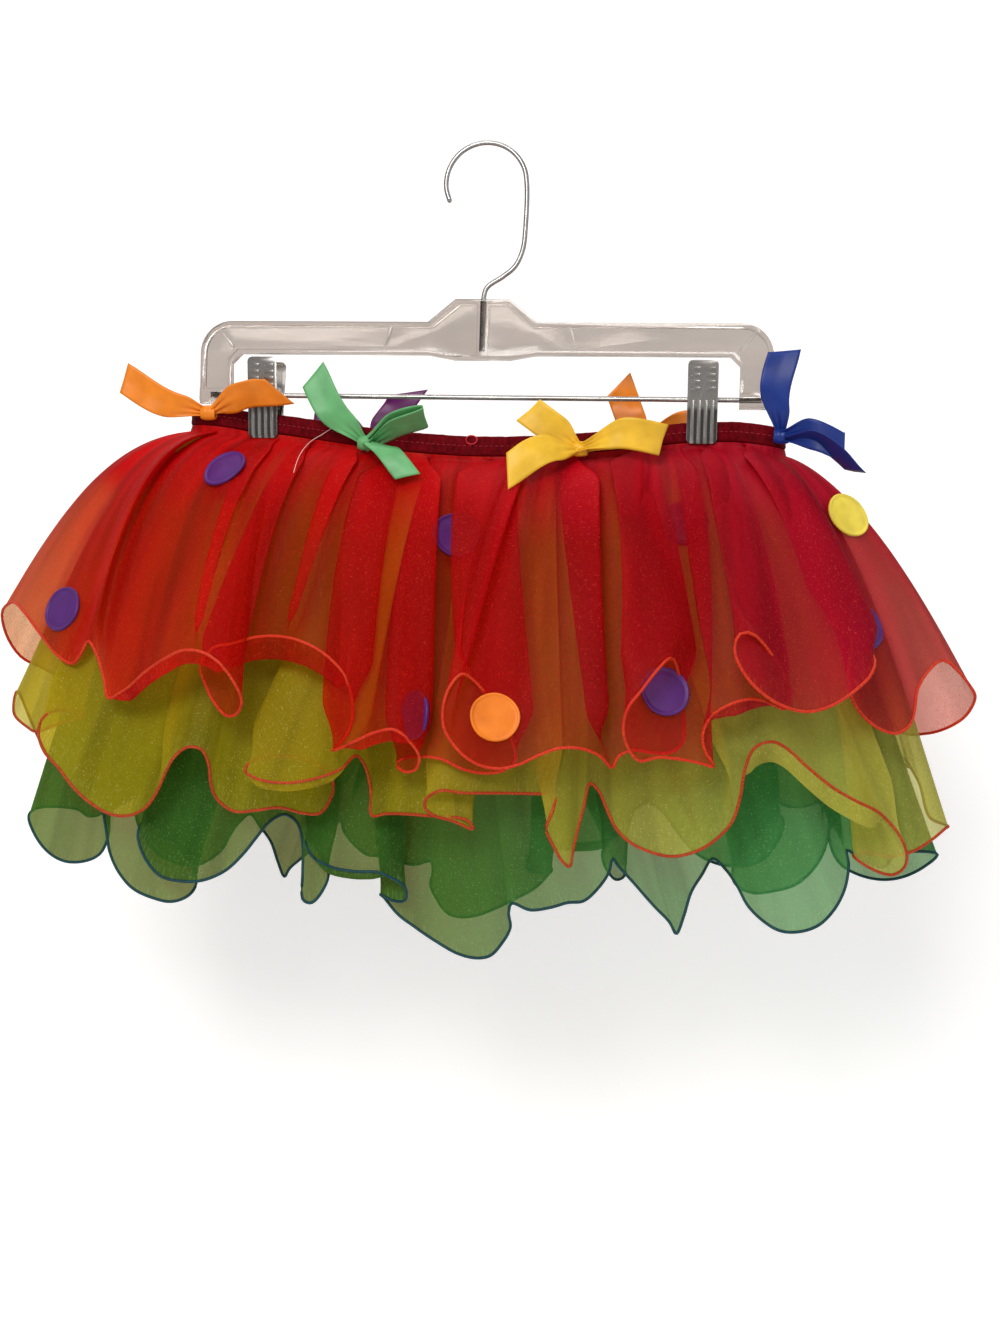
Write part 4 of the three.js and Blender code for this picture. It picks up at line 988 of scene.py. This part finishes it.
def plated(name, colour, dull, ribbed=False):
    """Nickel plate with drawn scratches and dull patches, and painted shade between the ribs of a
    clip's jaw.
    The ribs are RIB_STEP apart, so a groove is where cos(2 pi x / RIB_STEP) is high."""
    material, n, out, place = start_material(name)
    marks = use_group(n, wear(), place.outputs["Object"])
    tone = n.mix(n.ramp(marks["Patch"], 0.35, 0.75), rgba(colour), rgba(colour, 0.72))
    if ribbed:
        axes = n.add("ShaderNodeSeparateXYZ")
        n.link(place.outputs["Object"], axes.inputs["Vector"])
        # Painted shade in the grooves between the jaw's ribs, where the colour goes nearly black.
        wave = n.math("COSINE", n.math("MULTIPLY", axes.outputs["X"], TURN / (RIB_STEP * MM)))
        jaw = n.ramp(axes.outputs["Z"], JAW_TOP * MM, (JAW_TOP - 3) * MM)
        groove = n.math("MULTIPLY", n.ramp(wave, -0.3, 0.5), jaw)
        tone = n.mix(n.math("MULTIPLY", groove, 0.8), tone, (0.02, 0.018, 0.016, 1))
    metal = principled(
        n, tone, n.math("MULTIPLY_ADD", marks["Patch"], 0.25, dull),
        bump(n, marks["Scratch"], 0.12, 0.0002), Metallic=1.0)
    n.link(metal, out.inputs["Surface"])
    return material


def once(name, make, *values):
    """The material of that name, made the first time it is asked for."""
    return bpy.data.materials.get(name) or make(name, *values)


SATINS = {
    "purple_satin": (0.085, 0.014, 0.165), "orange_satin": (0.95, 0.22, 0.012),
    "yellow_satin": (0.85, 0.66, 0.07), "orange_ribbon": (0.90, 0.24, 0.012),
    "green_ribbon": (0.13, 0.42, 0.16), "yellow_ribbon": (0.86, 0.50, 0.03),
    "blue_ribbon": (0.006, 0.030, 0.22), "purple_ribbon": (0.13, 0.010, 0.12),
}


# ---------- pieces ----------
def corded_hem(name, line, down, radius, material, slot):
    """A tube round the whole hem, its side directions taken from the cloth's own fall."""
    rings = tube(line, radius, 8, closed=True, up=down)
    steps = np.linalg.norm(np.roll(line, -1, 0) - line, axis=1)
    length = np.concatenate([[0], np.cumsum(steps)])
    hem = Parts().add(rings, length, np.linspace(0, 1, 9), around=True, across=True).piece(name)
    return settle(outwards(hem), slot, material)


def organza_layer(name, cloth):
    """One layer as a single open tube of cloth, with its UV in metres along hem and fall."""
    grid = layer_grid(LAYERS[name], cloth.columns, cloth.rows)
    round_hem = np.linalg.norm(np.roll(grid[:, -1], -1, 0) - grid[:, -1], axis=1)
    fall = np.linalg.norm(np.diff(grid, axis=1), axis=2).mean(0)
    u = np.concatenate([[0], np.cumsum(round_hem)])
    v = np.concatenate([[0], np.cumsum(fall)])
    piece = Parts().add(grid, u, v, around=True).piece(f"{name}_organza")
    return piece, grid, v[-1]


CASING_COLUMNS = 900
CASING_SIDES = 14
STITCH_STEP = 0.85  # roots from one stitch to the next, and the length of each
STITCH_LONG = 0.55


def casing_grid():
    """The band's section, a rounded oblong of sine powers, carried round the waist. Smoothed
    random puckers move its outside, and a groove follows the stitches: a bell curve at half of
    its height."""
    top, outward = BAND.at(np.arange(CASING_COLUMNS) * 200 / CASING_COLUMNS)
    turn = np.arange(CASING_SIDES) / CASING_SIDES * TURN
    thick, height = BAND_THICK / 2 * MM, BAND_HEIGHT / 2 * MM
    across = np.sign(np.cos(turn)) * np.abs(np.cos(turn)) ** 0.5 * thick
    upward = np.sign(np.sin(turn)) * np.abs(np.sin(turn)) ** 0.35 * height
    rng = np.random.default_rng(7)
    pucker = np.convolve(rng.normal(size=CASING_COLUMNS + 8), np.hanning(9), "valid") * 0.10 * MM
    groove = 0.35 * MM * np.exp(-(upward / (0.9 * MM)) ** 2)
    bulge = np.sign(across) * (np.abs(pucker)[:, None] - groove[None])
    middle = top - [0, 0, height]
    return (middle[:, None] + outward[:, None] * (across[None] + bulge)[..., None]
            + np.array([0, 0, 1.0]) * (upward[None] + 0.4 * pucker[:, None])[..., None])


def stitch_line(start):
    """One stitch's path along the casing's groove: a half sine that stands out in its middle."""
    point, out = BAND.at(start + np.linspace(0, STITCH_LONG, 5))
    arch = np.sin(np.linspace(0, math.pi, 5)) * 0.35 * MM
    depth = (BAND_THICK / 2 - 0.35) * MM
    return point + out * (depth + arch)[:, None] - [0, 0, BAND_HEIGHT / 2 * MM]


def thread_loop_line():
    """A thread loop's path on the band's front: an oval that waves in and out twice."""
    at, out = BAND.at(np.full(17, THREAD_LOOP_ROOT))
    turn = np.linspace(0, TURN, 17)
    oval = np.stack([np.cos(turn) * 3.4, 0.4 * np.sin(turn * 2), np.sin(turn) * 2.6], 1) * MM
    return (at + out * (BAND_THICK / 2 + 0.8) * MM - [0, 0, 2.5 * MM] + oval)[:-1]


class TUTU_OT_waistband(bpy.types.Operator):
    """Cover the waist elastic with its stitched casing"""

    bl_idname = "tutu.waistband"
    bl_label = "Waistband"

    def execute(self, context):
        length = BAND.lengths[-1] * np.linspace(0, 1, CASING_COLUMNS + 1)
        height = np.linspace(0, 1, CASING_SIDES + 1)
        band = Parts().add(casing_grid(), length, height, around=True, across=True)
        band = outwards(band.piece("waist_casing"))
        settle(band, "waistband", once("Waist casing", casing, (0.13, 0.0006, 0.004)), "waistband")

        stitches = Parts()
        for start in np.arange(0, 200, STITCH_STEP):
            stitches.capped(tube(stitch_line(start), 0.28 * MM, 6, up=(0, 0, 1)))
        thread = outwards(stitches.piece("waist_stitches"))
        settle(thread, "waistband", once("Sewing thread", satin, (0.30, 0.008, 0.02)))

        line = catmull(np.array(LOOSE_THREAD) * MM, np.linspace(0, 1, 40), False)
        loose = outwards(Parts().capped(tube(line, 0.22 * MM, 6)).piece("loose_thread"))
        settle(loose, "waistband", once("Loose thread", satin, (0.85, 0.62, 0.55)))

        rings = tube(thread_loop_line(), 0.45 * MM, 6, closed=True)
        loop = outwards(Parts().add(rings, around=True, across=True).piece("waist_thread_loop"))
        settle(loop, "waistband", once("Loop thread", satin, (0.55, 0.01, 0.02)))
        return {"FINISHED"}


class TUTU_OT_layers(bpy.types.Operator):
    """Hang the three organza layers and cord their hems"""

    bl_idname = "tutu.layers"
    bl_label = "Organza layers"

    # Colours of what is seen through on the left, darker there as painted shade of what stands
    # behind, and on the right, of the painted glints and of the painted light and shade on the right
    # side, share by which the cloth is denser all over, and how much closer it stands at the sides.
    LOOKS = {
        "red": ((1.0, 0.74, 0.42), (1.0, 0.62, 0.50), (1.0, 0.16, 0.06), (0.66, 0.003, 0.035),
                0.88, 0.34),
        "yellow": ((0.78, 0.70, 0.28), (0.86, 0.84, 0.50), (1.0, 0.92, 0.34),
                   (0.84, 0.80, 0.15), 1.25, 0.0),
        "green": ((0.34, 0.26, 0.14), (0.44, 0.50, 0.36), (0.45, 0.80, 0.34), (0.10, 0.50, 0.14),
                  1.35, 0.0),
    }
    # Each hem cord's colour, and the colour of the painted highlights on its wraps.
    CORDS = {
        "red": ((0.60, 0.016, 0.005), (0.86, 0.075, 0.012)),
        "yellow": ((0.40, 0.028, 0.006), (0.66, 0.10, 0.012)),
        "green": ((0.005, 0.045, 0.055), (0.012, 0.10, 0.12)),
    }

    def execute(self, context):
        cloth = context.scene.tutu_cloth
        for name, row in LAYERS.items():
            slot = f"{name}_organza"
            piece, grid, fall = organza_layer(name, cloth)
            *colours, denser, sides = self.LOOKS[name]
            material = once(
                f"{name.title()} organza", organza, getattr(cloth, name)[:], colours,
                cloth.density * denser, sides, fall)
            settle(piece, slot, material, f"{name}_layer_front", f"{name}_layer_back")
            down = grid[:, -1] - grid[:, -3]
            down /= np.linalg.norm(down, axis=1, keepdims=True)
            cord = once(f"{name.title()} hem cord", corded, *self.CORDS[name])
            line = grid[:, -1] + down * 0.3 * MM
            hem = corded_hem(f"{name}_hem", line, down, cloth.hem_cord / 2, cord, slot)
        return {"FINISHED"}


def dot_seat(grid, root, share):
    """Where a dot lies on its layer's grid: its middle, its directions, the bend of the cloth
    under it, as the best square-law height over the best plane, and the height of what stands
    proud of that."""
    columns, rows = grid.shape[:2]
    i, j = round(root / 200 * columns), round(share ** (1 / ROW_CROWDING) * (rows - 1))
    wide, tall = round(DOT_PATCH[0] / 200 * columns), round(DOT_PATCH[1] * rows)
    patch = grid[np.arange(i - wide, i + wide + 1) % columns][:, max(j - tall, 0):j + tall + 1]
    points = patch.reshape(-1, 3)
    middle = points.mean(0)
    side, _, normal = np.linalg.svd(points - middle, full_matrices=False)[2]
    if normal @ np.cross(patch[0, -1] - patch[0, 0], patch[-1, 0] - patch[0, 0]) < 0:
        normal = -normal
    other = np.cross(normal, side)
    x, y, z = ((points - middle) @ np.stack([side, other, normal], 1)).T
    terms = np.stack([x * x, x * y, y * y, np.ones_like(x)], 1)
    bend = np.linalg.lstsq(terms, z, rcond=None)[0]
    proud = (z - terms @ bend).max()
    return middle, side, other, normal, bend, proud


class TUTU_OT_dots(bpy.types.Operator):
    """Sew the satin dots on where their solids lie"""

    bl_idname = "tutu.dots"
    bl_label = "Satin dots"

    def execute(self, context):
        trim, cloth = context.scene.tutu_trim, context.scene.tutu_cloth
        grids = {name: layer_grid(layer, cloth.columns, cloth.rows)
                 for name, layer in LAYERS.items()}
        for number, (name, (layer, root, share, colour)) in enumerate(DOTS.items()):
            seat = dot_seat(grids[layer], root, share)
            self.dot(f"dot_{name}", f"{colour}_satin", number, trim, seat)
        return {"FINISHED"}

    def dot(self, node, slot, number, trim, seat):
        """A disc's rings on its seat, a little out of round, with fine pleats at its rim."""
        middle, side, other, normal, bend, proud = seat
        radius, thick = trim.dot_radius, trim.dot_thick
        lift = min(proud, DOT_LIFT * MM) + thick / 2
        rings = np.array(DOT_RINGS)
        turn = np.arange(DOT_SIDES) / DOT_SIDES * TURN
        wobble = 1 + 0.012 * np.sin(2 * turn + number) + 0.006 * np.sin(5 * turn + 2 * number)
        reach = radius * rings[:, 0][None] * wobble[:, None]
        x, y = reach * np.cos(turn)[:, None], reach * np.sin(turn)[:, None]
        pleats = 0.05 * np.sin(turn * 31 + 3 * np.sin(turn * 3 + number))[:, None]
        pleats = pleats * smoothstep(0.75, 0.95, rings[:, 0])[None]
        seated = bend[0] * x * x + bend[1] * x * y + bend[2] * y * y + bend[3]
        z = seated + lift + thick * (rings[:, 1][None] + pleats)
        grid = middle + x[..., None] * side + y[..., None] * other + z[..., None] * normal
        piece = outwards(Parts().capped(grid.transpose(1, 0, 2)).piece(f"satin_{node}"))
        name = slot.replace("_", " ").capitalize()
        settle(piece, slot, once(name, satin, SATINS[slot]), node)


def ribbon_grid(knot, reach, sag, edge, looped, slant, width):
    """A ribbon's surface from the knot along a spline: its width lies along edge, narrow at the
    knot and full from two fifths on, with a lengthwise crease that dies out, and slow ripples.
    A loop comes back behind itself."""
    reach, sag, edge = (np.array(v, float) * s for v, s in ((reach, MM), (sag, MM), (edge, 1)))
    edge /= np.linalg.norm(edge)
    end = knot + reach
    middle = (knot + end) / 2 + sag
    behind = np.cross(reach, edge)
    behind *= 1.6 * MM / np.linalg.norm(behind)
    out = np.array([knot, middle, end])
    if looped:
        fore = out - behind * [[1.0], [1.0], [0.0]]
        fall = out[::-1] + behind * [[1.0], [2.0], [2.0]]
        path = np.vstack([fore, fall])
    else:
        path = out
    steps = 44 if looped else 26
    t = np.linspace(0, 1, steps)
    line = catmull(path, t, False)
    along = np.gradient(line, axis=0)
    along /= np.linalg.norm(along, axis=1, keepdims=True)
    normal = np.cross(along, edge)
    normal /= np.linalg.norm(normal, axis=1, keepdims=True)
    far = np.minimum(1, (np.minimum(t, 1 - t) * 2 if looped else t) / 0.4)
    far = smoothstep(0, 1, far)
    s = np.linspace(-1, 1, 13)
    half = width / 2 * (0.3 + 0.7 * far)
    crease = (1.2 * MM * (1 - np.abs(s))[None] * (1 - 0.6 * far)[:, None]
              + 0.5 * MM * np.sin(4.2 * t * math.pi + 1)[:, None] * s[None]
              + 1.1 * MM * (1 - far)[:, None] * np.cos(3 * math.pi * s)[None])
    shift = (slant * MM * smoothstep(0.5, 1, t))[:, None] * s[None] if not looped else 0 * crease
    return (line[:, None] + edge * (half[:, None] * s[None])[..., None]
            + normal[:, None] * crease[..., None] + along[:, None] * shift[..., None])


def knot_grid():
    """The ribbon wrapped round a bow's middle, in millimetres: an oval barrel along X that is
    slimmer at its ends, by the cube of the distance from its middle, and ripples."""
    turn = np.arange(24) / 24 * TURN
    across = np.linspace(-1, 1, 11)
    slim = np.abs(across) ** 3
    wrap = np.stack([
        np.broadcast_to(across[None] * 4.6, (24, 11)),
        np.cos(turn)[:, None] * (3.6 - 0.8 * slim)[None],
        np.sin(turn)[:, None] * (4.4 - 0.9 * slim)[None]], -1)
    wrap[..., 1] += 0.3 * np.sin(9 * across + 2)[None]
    return wrap


class TUTU_OT_bows(bpy.types.Operator):
    """Tie the ribbon bows along the waist"""

    bl_idname = "tutu.bows"
    bl_label = "Ribbon bows"

    def execute(self, context):
        trim = context.scene.tutu_trim
        for name, (root, below, stretches) in BOWS.items():
            point, out = BAND.at(np.array([root]))
            knot = point[0] + out[0] * (BAND_THICK / 2 + SEAM_GAP + 4) * MM - [0, 0, below * MM]
            bow = Parts()
            for stretch in stretches:
                bow.add(ribbon_grid(knot, *stretch, trim.ribbon_width))
            bow.add(knot + knot_grid() * MM, around=True)
            piece = bow.piece(f"ribbon_{name}")
            wall = piece.modifiers.new("wall", "SOLIDIFY")
            wall.thickness = trim.ribbon_thick
            wall.offset = 0
            slot = BOW_SLOTS[name]
            material = once(slot.replace("_", " ").capitalize(), satin, SATINS[slot], 0.28)
            settle(piece, slot, material, f"bow_{name}")
        return {"FINISHED"}


def hook_line():
    """The hook's wire: a spline through its stem's points and those of its crook's arc."""
    turn = np.linspace(0, CROOK_SWEEP, 10)
    crook = np.stack([HOOK_R * np.cos(turn), ROD_R - HOOK_R + HOOK_R * np.sin(turn)], 1)
    flat = np.vstack([np.array(HOOK_STEM, float), crook])
    points = np.stack([flat[:, 0], 0 * flat[:, 0], flat[:, 1]], 1) * MM
    return catmull(points, np.linspace(0, 1, 160), False)


def wire(name, line, end_share, up):
    """A round wire along a line, its ends rounded off to a share of its thickness."""
    thick = np.full(len(line), ROD_R * MM)
    thick[[0, -1]] *= end_share
    return outwards(Parts().capped(tube(line, thick, 16, up=up)).piece(name))


class TUTU_OT_hanger(bpy.types.Operator):
    """Finish the clear hanger, its hook and its rod"""

    bl_idname = "tutu.hanger"
    bl_label = "Clip hanger"

    def execute(self, context):
        look = context.scene.tutu_hanger
        body = cad_copy("hanger_body", "clear_hanger", look.edge)
        plastic = once("Clear plastic", clear_plastic, look.tint_and_reflection[:])
        settle(body, "clear_plastic", plastic, "hanger_body")

        steel = once("Plated wire", plated, (0.42, 0.41, 0.40), 0.16)
        hook = wire("wire_hook", hook_line(), 0.6, (0, 1, 0))
        settle(hook, "plated_wire", steel, "hanger_hook")

        low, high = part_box("hanger_rod")
        line = np.linspace((low.x, 0, ROD_Z * MM), (high.x, 0, ROD_Z * MM), 24)
        rod = wire("cross_rod", line, 0.7, (0, 0, 1))
        settle(rod, "plated_wire", steel, "hanger_rod")
        return {"FINISHED"}


class TUTU_OT_clips(bpy.types.Operator):
    """Finish the two sprung clips"""

    bl_idname = "tutu.clips"
    bl_label = "Clips"

    def execute(self, context):
        nickel = once("Nickel clip", plated, (0.42, 0.40, 0.38), 0.16, True)
        for side, middle in (("left", -CLIP_X), ("right", CLIP_X)):
            for face in ("front", "back"):
                leaf = cad_copy(f"clip_{side}_{face}", f"leaf_{side}_{face}", LEAF_EDGE * MM)
                settle(leaf, "plated_clip", nickel, f"clip_{side}_{face}")
            t = np.linspace(0, 1, COIL_TURNS * 20)
            coil = np.stack([
                middle + (t - 0.5) * COIL_LONG,
                COIL_R * np.cos(t * COIL_TURNS * TURN),
                ROD_Z + COIL_R * np.sin(t * COIL_TURNS * TURN)], 1) * MM
            spring = Parts().capped(tube(coil, COIL_WIRE_R * MM, 8, up=(1, 0, 0)))
            piece = outwards(spring.piece(f"coil_{side}"))
            settle(piece, "plated_clip", nickel, f"clip_{side}_spring")
        return {"FINISHED"}


# ---------- stage ----------
CAMERA_AWAY = 1.05
CAMERA_AIM = Vector((0.016, 0, -0.3202))
CAMERA_AROUND = math.radians(7)
CAMERA_ABOVE = math.radians(2)
CAMERA_ROLL = math.radians(1.45)
PIXEL_SIZE = 0.62 * MM  # what a pixel of the frame spans at the hanger
FRAME_TALL = 1333  # in pixels
SENSOR = 36
BACKDROP_SWEEP = 0.5  # radius of the bend from the floor up to the wall
BACKDROP_NEAR = -3.0
BACKDROP_TOP = 2.0
BACKDROP_HALF = 4.0


def aim_camera():
    """A camera on the front side, a little right and above, leaning clockwise by its roll."""
    lens = bpy.data.cameras.new("camera")
    lens.sensor_width = SENSOR
    lens.lens = CAMERA_AWAY / PIXEL_SIZE * SENSOR / FRAME_TALL
    camera = bpy.data.objects.new("camera", lens)
    bpy.context.scene.collection.objects.link(camera)
    back = Vector((math.sin(CAMERA_AROUND) * math.cos(CAMERA_ABOVE),
                   -math.cos(CAMERA_AROUND) * math.cos(CAMERA_ABOVE), math.sin(CAMERA_ABOVE)))
    right = Vector((math.cos(CAMERA_AROUND), math.sin(CAMERA_AROUND), 0))
    up = back.cross(right)
    lean, rise = math.cos(CAMERA_ROLL), math.sin(CAMERA_ROLL)
    across = right * lean + up * rise
    upright = up * lean - right * rise
    turn = Matrix((across, upright, back)).transposed().to_4x4()
    camera.matrix_world = Matrix.Translation(CAMERA_AIM + back * CAMERA_AWAY) @ turn
    bpy.context.scene.camera = camera


def lamp(name, place, aim, size, power, colour=(1, 1, 1)):
    """A soft rectangular light that looks from its place at aim."""
    light = bpy.data.lights.new(name, "AREA")
    light.shape = "RECTANGLE"
    light.size, light.size_y = size
    light.energy = power
    light.color = colour
    thing = bpy.data.objects.new(name, light)
    bpy.context.scene.collection.objects.link(thing)
    place, aim = Vector(place), Vector(aim)
    turn = (aim - place).to_track_quat("-Z", "Y").to_matrix().to_4x4()
    thing.matrix_world = Matrix.Translation(place) @ turn


def paper(name, glow):
    """White paper that is seen from its front alone, so that the back stays in view. It glows
    for the camera, so that it stays white under a soft light."""
    material, n, out, place = start_material(name)
    lit = n.add("ShaderNodeBsdfDiffuse")
    lit.inputs["Color"].default_value = (0.85, 0.85, 0.85, 1)
    rays = n.add("ShaderNodeLightPath")
    shine = n.add("ShaderNodeEmission")
    n.link(n.math("MULTIPLY", rays.outputs["Is Camera Ray"], glow), shine.inputs["Strength"])
    white = n.add("ShaderNodeAddShader")
    n.link(lit.outputs["BSDF"], white.inputs[0])
    n.link(shine.outputs["Emission"], white.inputs[1])
    clear = n.add("ShaderNodeBsdfTransparent")
    side = n.add("ShaderNodeNewGeometry")
    seen = n.blend(side.outputs["Backfacing"], white.outputs["Shader"], clear.outputs["BSDF"])
    n.link(seen, out.inputs["Surface"])
    return material


class TUTU_OT_stage(bpy.types.Operator):
    """Set the pale floor and wall, the soft light and the camera"""

    bl_idname = "tutu.stage"
    bl_label = "Stage"

    def execute(self, context):
        stage = context.scene.tutu_stage
        turn = np.linspace(0, math.pi / 2, 24)
        bend = np.stack([stage.wall_back - BACKDROP_SWEEP * (1 - np.sin(turn)),
                         stage.floor_drop + BACKDROP_SWEEP * (1 - np.cos(turn))], 1)
        ends = [BACKDROP_NEAR, stage.floor_drop], [stage.wall_back, BACKDROP_TOP]
        profile = np.vstack([ends[0], bend, ends[1]])
        across = np.array([-BACKDROP_HALF, BACKDROP_HALF])
        grid = np.stack([
            np.broadcast_to(across[:, None], (2, len(profile))),
            np.broadcast_to(profile[None, :, 0], (2, len(profile))),
            np.broadcast_to(profile[None, :, 1], (2, len(profile)))], -1)
        backdrop = Parts().add(grid[:, ::-1]).piece("backdrop")
        backdrop.data.materials.append(once("Backdrop paper", paper, stage.glow))

        world = bpy.data.worlds.new("studio")
        world.use_nodes = True
        sky = world.node_tree.nodes["Background"]
        sky.inputs["Color"].default_value = (1, 1, 1, 1)
        sky.inputs["Strength"].default_value = 0.36
        context.scene.world = world
        aim = (0, 0, -0.32)
        lamp("key", (-0.3, -1.8, 0.7), aim, (0.9, 0.7), 24, (1, 0.97, 0.93))
        lamp("fill", (1.6, -1.5, 0.2), aim, (1.2, 1.6), 5)
        lamp("top", (0.0, 0.0, 1.5), aim, (1.4, 0.6), 9)
        context.scene.view_settings.view_transform = "Standard"
        aim_camera()
        return {"FINISHED"}


class TUTU_PT_panel(bpy.types.Panel):
    """The skirt's pieces in the sidebar"""

    bl_label = "Tutu skirt"
    bl_idname = "TUTU_PT_panel"
    bl_space_type = "VIEW_3D"
    bl_region_type = "UI"
    bl_category = "Tutu"

    def draw(self, context):
        for settings in ("tutu_cloth", "tutu_trim", "tutu_hanger", "tutu_stage"):
            box = self.layout.box()
            group_of = getattr(context.scene, settings)
            for name in group_of.bl_rna.properties.keys():
                if name not in ("rna_type", "name"):
                    box.prop(group_of, name)
        for operator in OPERATORS:
            self.layout.operator(operator.bl_idname)


SETTINGS = {
    "tutu_cloth": TutuCloth, "tutu_trim": TutuTrim, "tutu_hanger": TutuHanger,
    "tutu_stage": TutuStage,
}
OPERATORS = [
    TUTU_OT_waistband, TUTU_OT_layers, TUTU_OT_dots, TUTU_OT_bows, TUTU_OT_hanger,
    TUTU_OT_clips, TUTU_OT_stage,
]


def register():
    for cls in (*SETTINGS.values(), *OPERATORS, TUTU_PT_panel):
        bpy.utils.register_class(cls)
    for name, cls in SETTINGS.items():
        setattr(bpy.types.Scene, name, PointerProperty(type=cls))


def unregister():
    for name in SETTINGS:
        delattr(bpy.types.Scene, name)
    for cls in reversed((*SETTINGS.values(), *OPERATORS, TUTU_PT_panel)):
        bpy.utils.unregister_class(cls)


def main():
    register()
    for name in ("waistband", "layers", "dots", "bows", "hanger", "clips", "stage"):
        getattr(bpy.ops.tutu, name)()


if __name__ == "__main__":
    main()
